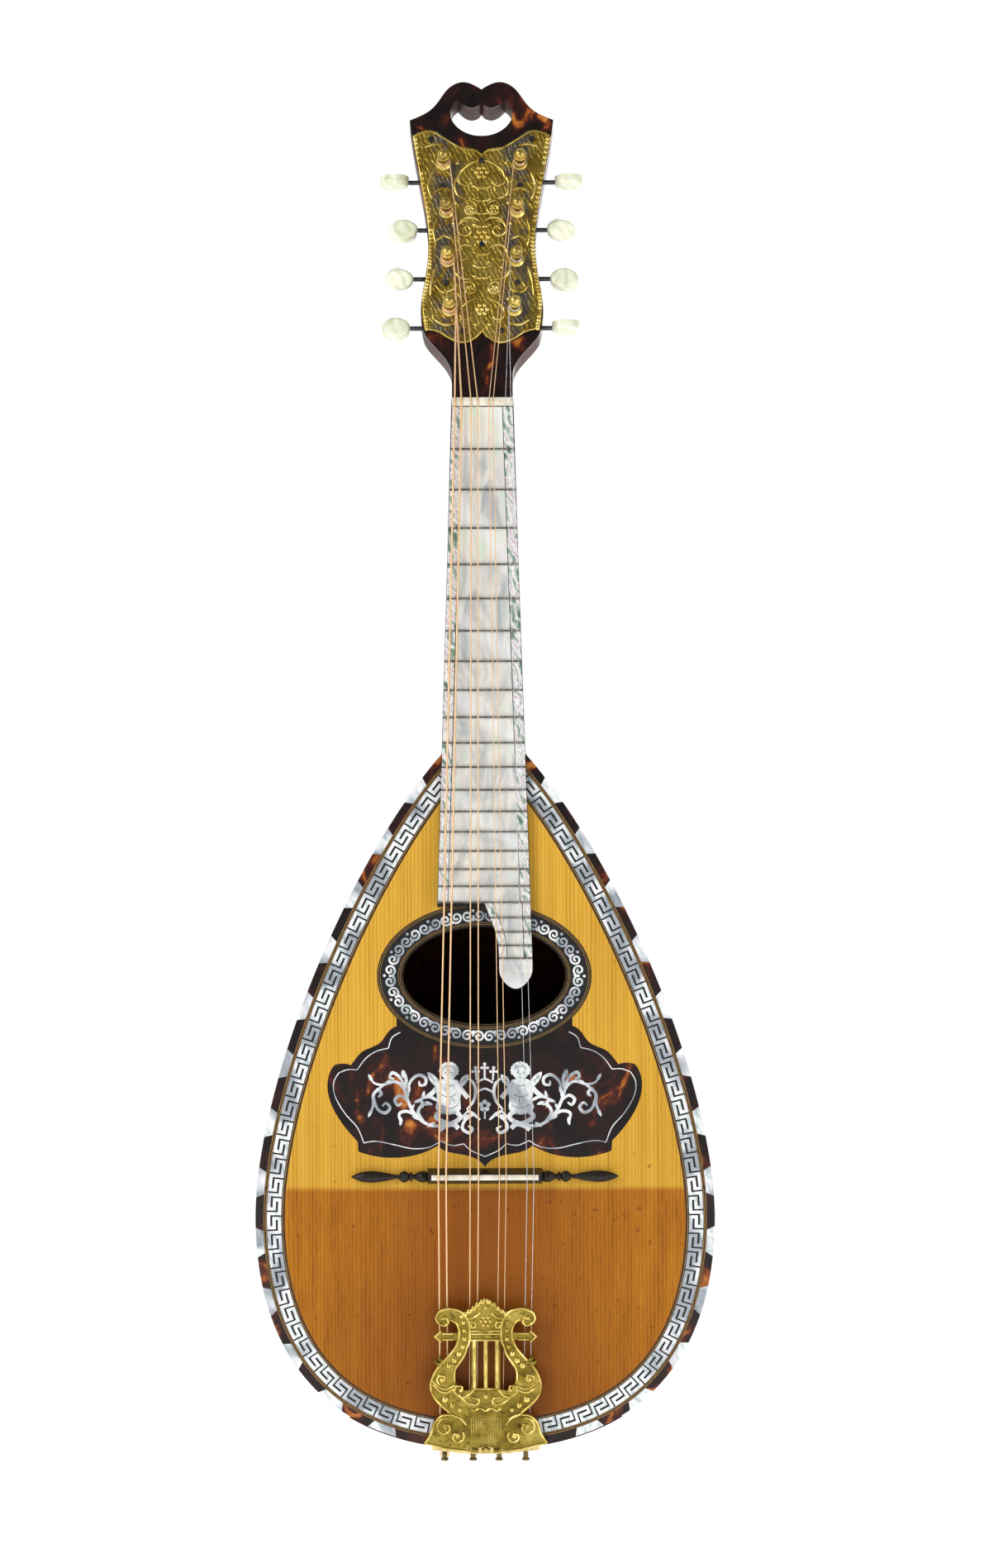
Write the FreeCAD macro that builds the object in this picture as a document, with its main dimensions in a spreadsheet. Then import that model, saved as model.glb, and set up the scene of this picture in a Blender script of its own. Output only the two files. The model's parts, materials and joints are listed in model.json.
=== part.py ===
"""Neapolitan (bowlback) mandolin, as a parametric FreeCAD document.

Frame, in millimetres: +Z runs up the neck, +X is to the right of a person looking at the strings, and
-Y points out of the strings. The origin is the tail end of the soundboard's centre line, in the plane of
the soundboard's flat part. The head has its own frame, tilted back about X at the top of the nut: there
z runs along the head and y is the depth behind the head's front face.
"""
import FreeCAD, Part
import Sketcher
import math
import os

V = FreeCAD.Vector
doc = FreeCAD.newDocument("bowlback_mandolin")

# ---------------------------------------------------------------- driving dimensions (mm and degrees)
DIMENSIONS = {
    # body outline, half of it: two Bezier curves that meet at the widest place
    "body_length": 301.1, "body_half_width": 99.04, "widest_height": 100.22,
    "tail_handle": 75.8, "lower_bout_handle": 51.09, "upper_bout_handle": 58.41,
    "shoulder_half_width": 17.8, "shoulder_handle": 60.67, "shoulder_slope": 41.5,
    # soundboard and its bend
    "board_thickness": 2.6, "cant_height": 113.9, "cant_angle": 5.0, "inlay_depth": 1.2,
    "binding_width": 3.3, "purfling_width": 1.7, "meander_width": 6.0, "inner_line_width": 1.6,
    "block_length": 13.2, "block_slant": 1.6,
    # bowl
    "bowl_ratio": 1.4, "rib_count": 23, "rib_thickness": 2.2, "rib_flute": 0.35, "clasp_thickness": 1.1,
    "rim_joint": 0.30,
    # sound hole and rosette
    "hole_height": 205.2, "hole_half_width": 35.1, "hole_half_height": 21.0,
    "rosette_half_width": 46.2, "rosette_half_height": 31.5, "rosette_line": 1.9, "rosette_inner": 2.5,
    # bridge and tail
    "bridge_height": 119.0, "bridge_half_length": 57.7, "saddle_half_length": 23.0, "saddle_top": 9.0,
    "saddle_width": 2.3, "base_thickness": 0.8, "pin_depth": 18.0, "pin_radius": 1.1,
    "pin_head_radius": 1.8, "hinge_height": 0.2, "hinge_front": 5.6, "hinge_pin_radius": 0.65,
    "hinge_bore": 0.72, "knuckle_radius": 1.3, "cover_tilt": 8.2, "cover_thickness": 1.2,
    # neck, fingerboard and nut
    "scale_length": 330.0, "nut_height": 450.3, "nut_half_width": 13.15, "nut_thickness": 3.6,
    "nut_top": 5.5, "neck_depth_nut": 17.5, "neck_depth_body": 24.3, "board_slope": 0.0325,
    "ebony_thickness": 3.0, "pearl_thickness": 1.0, "fret_rise": 0.9, "fret_width": 0.7,
    "board_end": 235.0, "extension_end": 199.5, "edging_width": 4.2, "inlay_gap": 0.3,
    # head and machines
    "head_tilt": 15.0, "head_depth": 14.0, "veneer_thickness": 1.2, "plate_thickness": 1.0,
    "pocket_depth": 10.0, "pocket_half_width": 5.8, "shaft_depth": 5.0, "centre_distance": 6.45,
    "shaft_radius": 1.0, "bracket_bore": 1.07, "shaft_clearance": 1.5, "bracket_width": 1.0,
    "post_radius": 2.0, "plate_bore": 2.07, "post_foot_radius": 1.5, "foot_bore": 1.56,
    "post_foot_end": 12.0, "gear_half_thickness": 1.2, "gear_outer": 5.0, "gear_pitch": 4.55,
    "gear_root": 3.85, "worm_outer": 2.35, "worm_pitch_radius": 1.9, "worm_root": 1.4,
    "worm_lead": 2.042, "screw_radius": 0.6, "screw_head_radius": 1.25,
    "button_length": 12.4, "button_width": 9.8, "button_thickness": 4.6,
}
GEAR_TEETH = 14
FRET_COUNT = 22

# machines from the nut upwards: post x and height, button's inner end, button's roll at rest (degrees)
MACHINES = {
    "left": ((14.1, 40.5, 31.1, 0.0), (15.0, 63.3, 29.7, 35.0),
             (15.5, 86.1, 27.9, 0.0), (16.7, 108.5, 31.9, 90.0)),
    "right": ((14.1, 40.5, 30.3, 90.0), (15.0, 63.3, 29.7, 0.0),
              (15.5, 86.1, 28.4, 35.0), (16.7, 108.5, 32.0, 90.0)),
}

# courses from bass to treble: radius, x at the saddle, x at the nut, hitch pin x, posts (side, index)
COURSES = {
    "g_strings": (0.43, (-20.0, -16.7), (-11.8, -8.9), -18.0, (("left", 0), ("left", 1))),
    "d_strings": (0.30, (-6.4, -2.8), (-4.8, -1.9), -5.6, (("left", 2), ("left", 3))),
    "a_strings": (0.19, (6.2, 9.1), (2.8, 4.6), 5.7, (("right", 3), ("right", 2))),
    "e_strings": (0.13, (18.1, 21.0), (9.9, 12.3), 17.3, (("right", 1), ("right", 0))),
}

sheet = doc.addObject("Spreadsheet::Sheet", "Sizes")
for row, (name, value) in enumerate(DIMENSIONS.items(), start=1):
    sheet.set("A%d" % row, name)
    sheet.set("B%d" % row, str(value))
    sheet.setAlias("B%d" % row, name)
doc.recompute()


def size(name):
    """A driving dimension, read from the sheet."""
    return float(sheet.get(name))


# ---------------------------------------------------------------- small helpers
SUB_PARTS = []


def keep(made, label):
    """Give a finished sub-part its label and put it on the list of files to write."""
    made.Label = label
    SUB_PARTS.append(made)
    return made


def bind(made, formulas):
    """Bind properties of an object to formulas on the sheet."""
    for name, formula in formulas.items():
        made.setExpression(name, formula)
    return made


def chain(*points):
    """Straight edges through points given as (x, y) pairs."""
    corners = [V(x, y, 0) for x, y in points]
    return [Part.LineSegment(a, b) for a, b in zip(corners, corners[1:])]


def loop(*points):
    """A closed polygon."""
    return chain(*points, points[0])


def smooth(*points):
    """One smooth curve through the points."""
    curve = Part.BSplineCurve()
    curve.interpolate([V(x, y, 0) for x, y in points])
    return [curve]


def rectangle(left, right, low, high):
    return loop((left, low), (right, low), (right, high), (left, high))


def mirrored(edges):
    """The edges, and the same edges reflected in the centre line x = 0."""
    other = []
    for edge in edges:
        copy = edge.copy()
        copy.mirror(V(0, 0, 0), V(0, 1, 0))
        other.append(copy)
    return edges + other


def new_body(name):
    return doc.addObject("PartDesign::Body", name)


def add_sketch(body, name, role, edges, depth=0.0):
    """A sketch on one of the body's own planes, moved along the plane's normal by depth."""
    sketch = body.newObject("Sketcher::SketchObject", name)
    plane = [item for item in body.Origin.OriginFeatures if item.Role == role][0]
    sketch.AttachmentSupport = [(plane, "")]
    sketch.MapMode = "FlatFace"
    sketch.AttachmentOffset = FreeCAD.Placement(V(0, 0, depth), FreeCAD.Rotation())
    sketch.addGeometry(edges, False)
    return sketch


def add_circles(sketch, centres, diameter):
    """Equal circles whose diameter is bound to a formula."""
    first = sketch.GeometryCount
    start = 1.0
    for x, y in centres:
        sketch.addGeometry(Part.Circle(V(x, y, 0), V(0, 0, 1), start), False)
    sketch.addConstraint(Sketcher.Constraint("Diameter", first, 2 * start))
    for index in range(first + 1, first + len(centres)):
        sketch.addConstraint(Sketcher.Constraint("Equal", first, index))
    name = "diameter%d" % first
    sketch.renameConstraint(sketch.ConstraintCount - len(centres), name)
    sketch.setExpression("Constraints." + name, diameter)
    return sketch


def add_pad(body, sketch, length, reverse=False, centred=False):
    pad = body.newObject("PartDesign::Pad", sketch.Name + "_pad")
    pad.Profile = sketch
    pad.Reversed = reverse
    if centred:
        pad.SideType = "Symmetric"
    pad.setExpression("Length", length)
    doc.recompute()
    return pad


def add_pocket(body, sketch, length=None, reverse=False, centred=False):
    """Cut the sketch out of the body, and make sure that something was cut."""
    doc.recompute()
    before = body.Shape.Volume
    pocket = body.newObject("PartDesign::Pocket", sketch.Name + "_pocket")
    pocket.Profile = sketch
    pocket.Reversed = reverse
    if centred:
        pocket.SideType = "Symmetric"
    if length is None:
        pocket.Type = "ThroughAll"
    else:
        pocket.setExpression("Length", length)
    doc.recompute()
    if body.Shape.Volume > before - 1e-6:
        raise RuntimeError("%s cuts nothing" % pocket.Name)
    return pocket


def add_revolution(body, sketch, axis):
    turned = body.newObject("PartDesign::Revolution", sketch.Name + "_turned")
    turned.Profile = sketch
    turned.ReferenceAxis = (sketch, [axis])
    turned.Angle = 360.0
    doc.recompute()
    return turned


def add_loft(body, first, second):
    loft = body.newObject("PartDesign::AdditiveLoft", first.Name + "_loft")
    loft.Profile = first
    loft.Sections = [second]
    loft.Ruled = True
    doc.recompute()
    return loft


def place_on_head(made, across=0.0, depth=0.0, along=0.0, roll=0.0):
    """Stand an object in the head's frame: it leans back by the head's tilt, plus its own roll about X."""
    axis = V(-1, 0, 0)
    made.Placement = FreeCAD.Placement(V(0, 0, 0), FreeCAD.Rotation(axis, size("head_tilt") - roll))
    head = "Sizes.nut_height + Sizes.nut_thickness"
    bind(made, {
        "Placement.Base.x": "%.6f" % across,
        "Placement.Base.y": "%.6f * cos(Sizes.head_tilt) + %.6f * sin(Sizes.head_tilt)" % (depth, along),
        "Placement.Base.z": "%s - %.6f * sin(Sizes.head_tilt) + %.6f * cos(Sizes.head_tilt)" % (head, depth, along),
        "Placement.Rotation.Angle": "Sizes.head_tilt - %.6f" % roll,
    })
    return made


def on_head(x, depth, along):
    """A point of the head's frame, in the mandolin's frame."""
    tilt = math.radians(size("head_tilt"))
    top = size("nut_height") + size("nut_thickness")
    return V(x, depth * math.cos(tilt) + along * math.sin(tilt),
             top - depth * math.sin(tilt) + along * math.cos(tilt))


# ---------------------------------------------------------------- the body's outline and its bands
def bezier(points, t):
    a, b, c, d = points
    return a * (1 - t) ** 3 + b * (3 * t * (1 - t) ** 2) + c * (3 * t * t * (1 - t)) + d * t ** 3


def outline(u):
    """Right half of the outline: u 0 is the tail, 1 the widest place, 2 the neck joint."""
    wide = size("body_half_width")
    widest = size("widest_height")
    slope = math.radians(size("shoulder_slope"))
    shoulder = V(size("shoulder_half_width"), 0, size("body_length"))
    handle = V(math.sin(slope), 0, -math.cos(slope)) * size("shoulder_handle")
    lower = (V(0, 0, 0), V(size("tail_handle"), 0, 0),
             V(wide, 0, widest - size("lower_bout_handle")), V(wide, 0, widest))
    upper = (V(wide, 0, widest), V(wide, 0, widest + size("upper_bout_handle")), shoulder + handle, shoulder)
    return bezier(lower, u) if u <= 1 else bezier(upper, u - 1)


OUTLINE_STEPS = 400
ARC_TABLE = [0.0]
for step in range(OUTLINE_STEPS):
    here = outline(2.0 * step / OUTLINE_STEPS)
    ahead = outline(2.0 * (step + 1) / OUTLINE_STEPS)
    ARC_TABLE.append(ARC_TABLE[-1] + here.distanceToPoint(ahead))
HALF_EDGE = ARC_TABLE[-1]


def edge_point(distance, inset):
    """A point at a distance along the edge from the tail (left is negative), inset towards the middle."""
    along = min(abs(distance), HALF_EDGE - 1e-6)
    index = max(i for i in range(OUTLINE_STEPS) if ARC_TABLE[i] <= along)
    part = (along - ARC_TABLE[index]) / (ARC_TABLE[index + 1] - ARC_TABLE[index])
    u = 2.0 * (index + part) / OUTLINE_STEPS
    small = 1e-4
    forward = outline(min(u + small, 2.0)) - outline(max(u - small, 0.0))
    forward.normalize()
    inward = V(-forward.z, 0, forward.x)
    place = outline(u) + inward * inset
    return V(-place.x if distance < 0 else place.x, 0, place.z)


def band(start, end, near, far, slant=0.0):
    """A face between two insets of the edge, from one distance along it to another."""
    count = max(2, int(abs(end - start) / 9.0) + 1)

    def rail(inset, shift):
        stops = [start + shift + (end - start) * i / count for i in range(count + 1)]
        curve = Part.BSplineCurve()
        curve.interpolate([edge_point(stop, inset) for stop in stops])
        return curve.toShape()

    outer = rail(near, 0.0)
    inner = rail(far, slant)
    ends = [Part.LineSegment(outer.Vertexes[i].Point, inner.Vertexes[i].Point).toShape() for i in (0, -1)]
    return Part.Face(Part.Wire(Part.__sortEdges__([outer, ends[1], inner, ends[0]])))


def bent_layer(name, front, back):
    """A layer that follows the soundboard's bend, between two depths behind its face."""
    drop = math.tan(math.radians(size("cant_angle"))) * (size("cant_height") + 20.0)
    low, bend, high = -20.0, size("cant_height"), size("body_length") + 20.0
    corners = [V(0, front, high), V(0, front, bend), V(0, front + drop, low),
               V(0, back + drop, low), V(0, back, bend), V(0, back, high)]
    profile = doc.addObject("Part::Feature", name + "_profile")
    profile.Shape = Part.Face(Part.makePolygon(corners + corners[:1]))
    layer = doc.addObject("Part::Extrusion", name + "_layer")
    layer.Base = profile
    layer.DirMode = "Custom"
    layer.Dir = V(1, 0, 0)
    layer.Solid = True
    return bind(layer, {"LengthFwd": "Sizes.body_half_width + 10", "LengthRev": "Sizes.body_half_width + 10"})


def bent_piece(name, faces, front, back):
    """Faces drawn in the XZ plane, cut out of a layer that follows the soundboard's bend."""
    reach = 30.0
    drawing = doc.addObject("Part::Feature", name + "_drawing")
    drawing.Shape = Part.makeCompound(faces)
    prism = doc.addObject("Part::Extrusion", name + "_prism")
    prism.Base = drawing
    prism.DirMode = "Custom"
    prism.Dir = V(0, 1, 0)
    prism.Solid = True
    prism.LengthFwd = reach
    prism.LengthRev = reach
    piece = doc.addObject("Part::Common", name)
    piece.Base = prism
    piece.Tool = bent_layer(name, front, back)
    doc.recompute()
    return piece


def ellipse_face(half_width, half_height):
    """An ellipse around the sound hole's centre, in the XZ plane."""
    wide = V(half_width, 0, size("hole_height"))
    tall = V(0, 0, size("hole_height") + half_height)
    curve = Part.Ellipse(wide, tall, V(0, 0, size("hole_height")))
    return Part.Face(Part.Wire([curve.toShape()]))


def flat_face(edges):
    """A face in the XZ plane from edges drawn with (x, z) pairs."""
    face = Part.Face(Part.Wire(Part.__sortEdges__([edge.toShape() for edge in edges])))
    face.rotate(V(0, 0, 0), V(1, 0, 0), 90)
    return face


def ring_face(outer, inner):
    return outer.cut(inner).Faces[0]


# ---------------------------------------------------------------- bowl
def cant_depth(height):
    """How far the soundboard's face lies behind the flat part's plane at a height."""
    return max(0.0, size("cant_height") - height) * math.tan(math.radians(size("cant_angle")))


def bowl_point(u, share):
    """The bowl's outer skin: u runs from tail to neck, share 0 to 1 from the right edge to the left."""
    edge = outline(u)
    deep = size("bowl_ratio") * edge.x
    rim = math.asin(min(0.98, cant_depth(edge.z) / deep))
    angle = rim + share * (math.pi - 2 * rim)
    return V(edge.x * math.cos(angle), size("board_thickness") + deep * math.sin(angle), edge.z)


def bowl_normal(u, share):
    small = 1e-3
    along = bowl_point(u + small, share) - bowl_point(u - small, share)
    across = bowl_point(u, share + small) - bowl_point(u, share - small)
    normal = along.cross(across)
    normal.normalize()
    outward = bowl_point(u, share) - V(0, 30, 130)
    return normal if normal.dot(outward) > 0 else normal * -1


def skin_patch(stations, shares, inner, outer, hollow=0.0):
    """A curved plank on the bowl's skin between two offsets; hollow sinks the middle of its outer face."""
    skins = []
    for offset, flute in ((inner, 0.0), (outer, hollow)):
        grid = []
        for u in stations:
            row = [bowl_point(u, share) + bowl_normal(u, share) * offset for share in shares]
            middle = len(row) // 2
            row[middle] = row[middle] - bowl_normal(u, shares[middle]) * flute
            grid.append(row)
        skin = Part.BSplineSurface()
        skin.interpolate(grid)
        skins.append(skin)
    low_u, high_u, low_v, high_v = skins[0].bounds()
    faces = [skin.toShape() for skin in skins]
    for u in (low_u, high_u):
        faces.append(Part.makeRuledSurface(skins[0].uIso(u).toShape(), skins[1].uIso(u).toShape()))
    for v in (low_v, high_v):
        faces.append(Part.makeRuledSurface(skins[0].vIso(v).toShape(), skins[1].vIso(v).toShape()))
    joined = Part.Compound(faces)
    joined.sewShape(1e-3)
    plank = Part.Solid(joined.Shells[0])
    if plank.Volume < 0:
        plank = Part.Solid(joined.Shells[0].reversed())
    return plank


def make_bowl():
    """Fluted ribs side by side, a clasp over their tail ends, and the blocks and linings inside."""
    count = int(size("rib_count"))
    seam = 0.0002
    stations = (0.08, 0.16, 0.3, 0.5, 0.75, 1.0, 1.2, 1.4, 1.6, 1.8, 1.99)
    ribs = []
    for index in range(count):
        shares = (index / count + seam, (index + 0.5) / count, (index + 1) / count - seam)
        ribs.append(skin_patch(stations, shares, -size("rib_thickness"), 0.0, size("rib_flute")))
    bowl = doc.addObject("Part::Feature", "bowl_ribs")
    bowl.Shape = Part.makeCompound(ribs)
    bowl.Placement.Base = V(0, size("rim_joint"), 0)
    keep(bowl, "bowl_ribs")

    clasp = doc.addObject("Part::Feature", "tail_clasp")
    across = [i / 14.0 for i in range(15)]
    clasp.Shape = skin_patch((0.045, 0.09, 0.16, 0.24, 0.33), across, 0.03, size("clasp_thickness"))
    clasp.Placement.Base = V(0, size("rim_joint"), 0)
    keep(clasp, "tail_clasp")

    block = new_body("neck_block")
    sections = []
    margin = 3.6
    for height in (274.0, 299.6):
        u = min((i * 0.001 for i in range(1001, 2000)), key=lambda t: abs(outline(t).z - height))
        half = outline(u).x - margin
        sections.append(half_ellipse_sketch(block, "block_at_%d" % height, half,
                                            half * size("bowl_ratio"), height))
    add_loft(block, sections[0], sections[1])
    block.Placement.Base = V(0, size("board_thickness"), 0)
    bind(block, {"Placement.Base.y": "Sizes.board_thickness + 0.05"})
    keep(block, "neck_block")

    tail = doc.addObject("Part::Box", "tail_block")
    bind(tail, {"Length": "Sizes.shoulder_half_width * 2.6", "Width": "Sizes.board_thickness * 9",
                "Height": "Sizes.board_thickness * 5", "Placement.Base.x": "-Sizes.shoulder_half_width * 1.3",
                "Placement.Base.y": "Sizes.board_thickness + 10", "Placement.Base.z": "8.5"})
    keep(tail, "tail_block")

    lining_near, lining_far, lining_depth = 3.0, 8.0, 5.0
    top = HALF_EDGE - 34.0
    faces = [band(side * 26.0, side * top, lining_near, lining_far) for side in (-1, 1)]
    keep(bent_piece("rim_lining", faces, size("board_thickness"), size("board_thickness") + lining_depth),
         "rim_lining")


def half_ellipse_sketch(body, name, half_width, depth, height):
    """Half an ellipse behind the line y = 0, in a level plane at a height."""
    curve = Part.Ellipse(V(0, depth, 0), V(half_width, 0, 0), V(0, 0, 0))
    if half_width > depth:
        curve = Part.Ellipse(V(half_width, 0, 0), V(0, depth, 0), V(0, 0, 0))
        arc = Part.ArcOfEllipse(curve, 0, math.pi)
    else:
        arc = Part.ArcOfEllipse(curve, -math.pi / 2, math.pi / 2)
    edges = [arc, Part.LineSegment(arc.EndPoint, arc.StartPoint)]
    return add_sketch(body, name, "XY_Plane", edges, height)


# ---------------------------------------------------------------- soundboard and its inlays
def pickguard_edges():
    """The pickguard's outline: two ears against the rosette, and a waved lower edge with a centre point."""
    sweep = 46.9
    right = [(0.0, 170.5), (20.0, 175.4), (32.0, 180.2), (37.6, 183.6)]
    side = [(37.6, 183.6), (42.4, 179.9), (44.6, 176.9), (48.5, 174.6), (52.8, 172.6), (55.6, 169.6),
            (57.6, 166.9)]
    ear = [(57.6, 166.9), (61.2, 167.6), (64.8, 166.9)]
    flank = [(64.8, 166.9), (67.4, 161.5), (67.6, 155.9), (63.8, 145.4), (54.8, 134.0)]
    corner = [(54.8, 134.0), (54.5, 129.7)]
    wave = [(54.5, 129.7), (sweep, 127.6), (38.0, 127.0), (30.4, 128.0), (20.4, 132.1)]
    lobe = [(20.4, 132.1), (16.6, 129.7), (12.3, 128.7), (5.6, 127.2), (0.0, 123.0)]
    edges = []
    for stretch in (right, side, ear, flank, wave, lobe):
        edges += smooth(*stretch)
    return mirrored(edges + chain(*corner))


def ring_insets():
    """The insets at which one band of the border ends and the next begins."""
    insets = [0.0]
    for name in ("binding_width", "purfling_width", "meander_width", "inner_line_width"):
        insets.append(insets[-1] + size(name))
    return insets


def both_sides(near, far):
    """A whole band of the border as two faces that meet at the tail."""
    gap = 0.02
    return [band(side * gap, side * HALF_EDGE, near, far) for side in (-1, 1)]


def make_soundboard():
    insets = ring_insets()
    board = size("board_thickness")
    inlay = size("inlay_depth")
    hole = ellipse_face(size("hole_half_width"), size("hole_half_height"))
    rosette = ellipse_face(size("rosette_half_width"), size("rosette_half_height"))
    line = size("rosette_line")
    middle = ellipse_face(size("rosette_half_width") - line, size("rosette_half_height") - line)
    inner = size("rosette_inner")
    core = ellipse_face(size("hole_half_width") + inner, size("hole_half_height") + inner)
    guard = flat_face(pickguard_edges()).cut(rosette).Faces[0]

    lower_face = band_interior(insets[1]).cut(hole).Faces[0]
    upper_face = band_interior(insets[4]).cut(rosette).cut(guard)
    lower = bent_piece("board_under_inlays", [lower_face], inlay, board)
    upper = bent_piece("board_face", upper_face.Faces, 0.0, inlay)
    soundboard = doc.addObject("Part::MultiFuse", "soundboard")
    soundboard.Shapes = [lower, upper]
    keep(soundboard, "soundboard")

    keep(bent_piece("border_purfling", both_sides(insets[1], insets[2]) + both_sides(insets[3], insets[4]),
                    0.0, inlay), "border_purfling")
    keep(bent_piece("meander_border", both_sides(insets[2], insets[3]), 0.0, inlay), "meander_border")
    keep(bent_piece("rosette_lines", [ring_face(rosette, middle), ring_face(core, hole)], 0.0, inlay),
         "rosette_lines")
    keep(bent_piece("rosette_band", [ring_face(middle, core)], 0.0, inlay), "rosette_band")
    keep(bent_piece("pickguard", [guard], -0.12, inlay), "pickguard")


def band_interior(inset):
    """The face inside an inset of the edge, closed by a straight line at the neck joint."""
    count = 44
    stops = [-HALF_EDGE + 2 * HALF_EDGE * i / count for i in range(count + 1)]
    curve = Part.BSplineCurve()
    curve.interpolate([edge_point(stop, inset) for stop in stops])
    edge = curve.toShape()
    first, last = edge.Vertexes[0].Point, edge.Vertexes[-1].Point
    return Part.Face(Part.Wire([edge, Part.LineSegment(last, first).toShape()]))


def make_binding():
    """Alternate blocks of tortoiseshell and pearl round the edge, with slanted joints."""
    width = size("binding_width")
    count = int(round(HALF_EDGE / size("block_length")))
    step = (HALF_EDGE - 0.5) / count
    shell, pearl = [], []
    for side in (-1, 1):
        for index in range(count):
            lean = side * size("block_slant") * (1 if index % 2 else -1)
            start = side * (0.1 + index * step)
            end = side * ((index + 1) * step)
            face = slanted_block(start, end, width, 0.0 if index == 0 else lean, -lean if index < count - 1 else 0.0)
            target = shell if (count - index) % 2 else pearl
            target.append(face)
    depth = size("board_thickness")
    keep(bent_piece("binding_tortoiseshell", shell, 0.0, depth), "binding_tortoiseshell")
    keep(bent_piece("binding_pearl", pearl, 0.0, depth), "binding_pearl")


def slanted_block(start, end, width, start_lean, end_lean):
    """One binding block whose two ends lean along the edge."""
    def rail(inset, first, last):
        curve = Part.BSplineCurve()
        curve.interpolate([edge_point(first + (last - first) * i / 3.0, inset) for i in range(4)])
        return curve.toShape()

    outer = rail(0.0, start, end)
    inner = rail(width, start + start_lean, end + end_lean)
    ends = [Part.LineSegment(outer.Vertexes[i].Point, inner.Vertexes[i].Point).toShape() for i in (0, -1)]
    return Part.Face(Part.Wire(Part.__sortEdges__([outer, ends[1], inner, ends[0]])))


def make_braces():
    """Three cross bars under the soundboard: above the hole, below it, and below the bend."""
    bars = ((244.0, 38.0), (172.0, 72.0), (92.0, 84.0))
    thick = 6.0
    faces = [flat_face(rectangle(-half, half, height - thick / 2, height + thick / 2)) for height, half in bars]
    top = size("board_thickness")
    keep(bent_piece("soundboard_braces", faces, top, top + 11.0), "soundboard_braces")


# ---------------------------------------------------------------- bridge
def make_bridge():
    """A low ebony bar with a pointed saddle blade and turned ends that lie on the soundboard."""
    half = size("saddle_half_length") + 1.5
    seat = size("saddle_top") - 1.4
    bridge = new_body("bridge")
    centre = size("bridge_height")
    section = loop((0.0, centre - 3.4), (-3.0, centre - 2.9), (-seat, centre - 1.7), (-seat, centre + 1.7),
                   (-3.0, centre + 2.9), (0.0, centre + 3.4))
    bar = add_sketch(bridge, "bar_section", "YZ_Plane", section)
    add_pad(bridge, bar, "2 * Sizes.saddle_half_length + 3", centred=True)
    radius = 2.45
    end = size("bridge_half_length")
    bead = smooth((half - 1.0, 1.2), (half + 2.6, radius), (half + 5.6, 1.1))
    reel = chain((half + 5.6, 1.1), (half + 6.8, 1.1), (half + 6.8, 1.9), (half + 8.0, 1.9), (half + 8.0, 1.0))
    second = smooth((half + 8.0, 1.0), (half + 10.2, radius), (half + 12.6, 0.9))
    neck = chain((half + 12.6, 0.9), (half + 14.0, 0.9))
    drop = smooth((half + 14.0, 0.9), (end - 12.6, 2.2), (end - 7.4, radius), (end, 0.0))
    for side in (1, -1):
        edges = []
        for edge in bead + reel + second + neck + drop:
            copy = edge.copy()
            if side < 0:
                copy.mirror(V(0, 0, 0), V(0, 1, 0))
            edges.append(copy)
        edges += chain((side * end, 0.0), (side * (half - 1.0), 0.0), (side * (half - 1.0), 1.2))
        moved = []
        for edge in edges:
            edge.translate(V(0, centre, 0))
            moved.append(edge)
        profile = add_sketch(bridge, "turned_end_%s" % ("right" if side > 0 else "left"), "XZ_Plane", moved,
                             radius + 0.05)
        turned = bridge.newObject("PartDesign::Revolution", profile.Name + "_turned")
        turned.Profile = profile
        profile.addGeometry(Part.LineSegment(V(-end, centre, 0), V(end, centre, 0)), True)
        profile.solve()
        turned.ReferenceAxis = (profile, ["Axis0"])
        turned.Angle = 360.0
        doc.recompute()
    keep(bridge, "bridge")

    saddle = new_body("saddle")
    top = size("saddle_top")
    half_width = size("saddle_width") / 2
    blade = loop((-seat, centre - half_width), (-top + 0.45, centre - half_width), (-top, centre),
                 (-top + 0.45, centre + half_width), (-seat, centre + half_width))
    add_pad(saddle, add_sketch(saddle, "saddle_section", "YZ_Plane", blade),
            "2 * Sizes.saddle_half_length", centred=True)
    keep(saddle, "saddle")


# ---------------------------------------------------------------- tailpiece
PIN_PLACES = [course[3] for course in COURSES.values()]


def edge_height(x):
    """The outline's height at a distance from the centre line, near the tail."""
    u = min((i * 0.0005 for i in range(1, 1000)), key=lambda t: abs(outline(t).x - abs(x)))
    return outline(u).z


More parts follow.
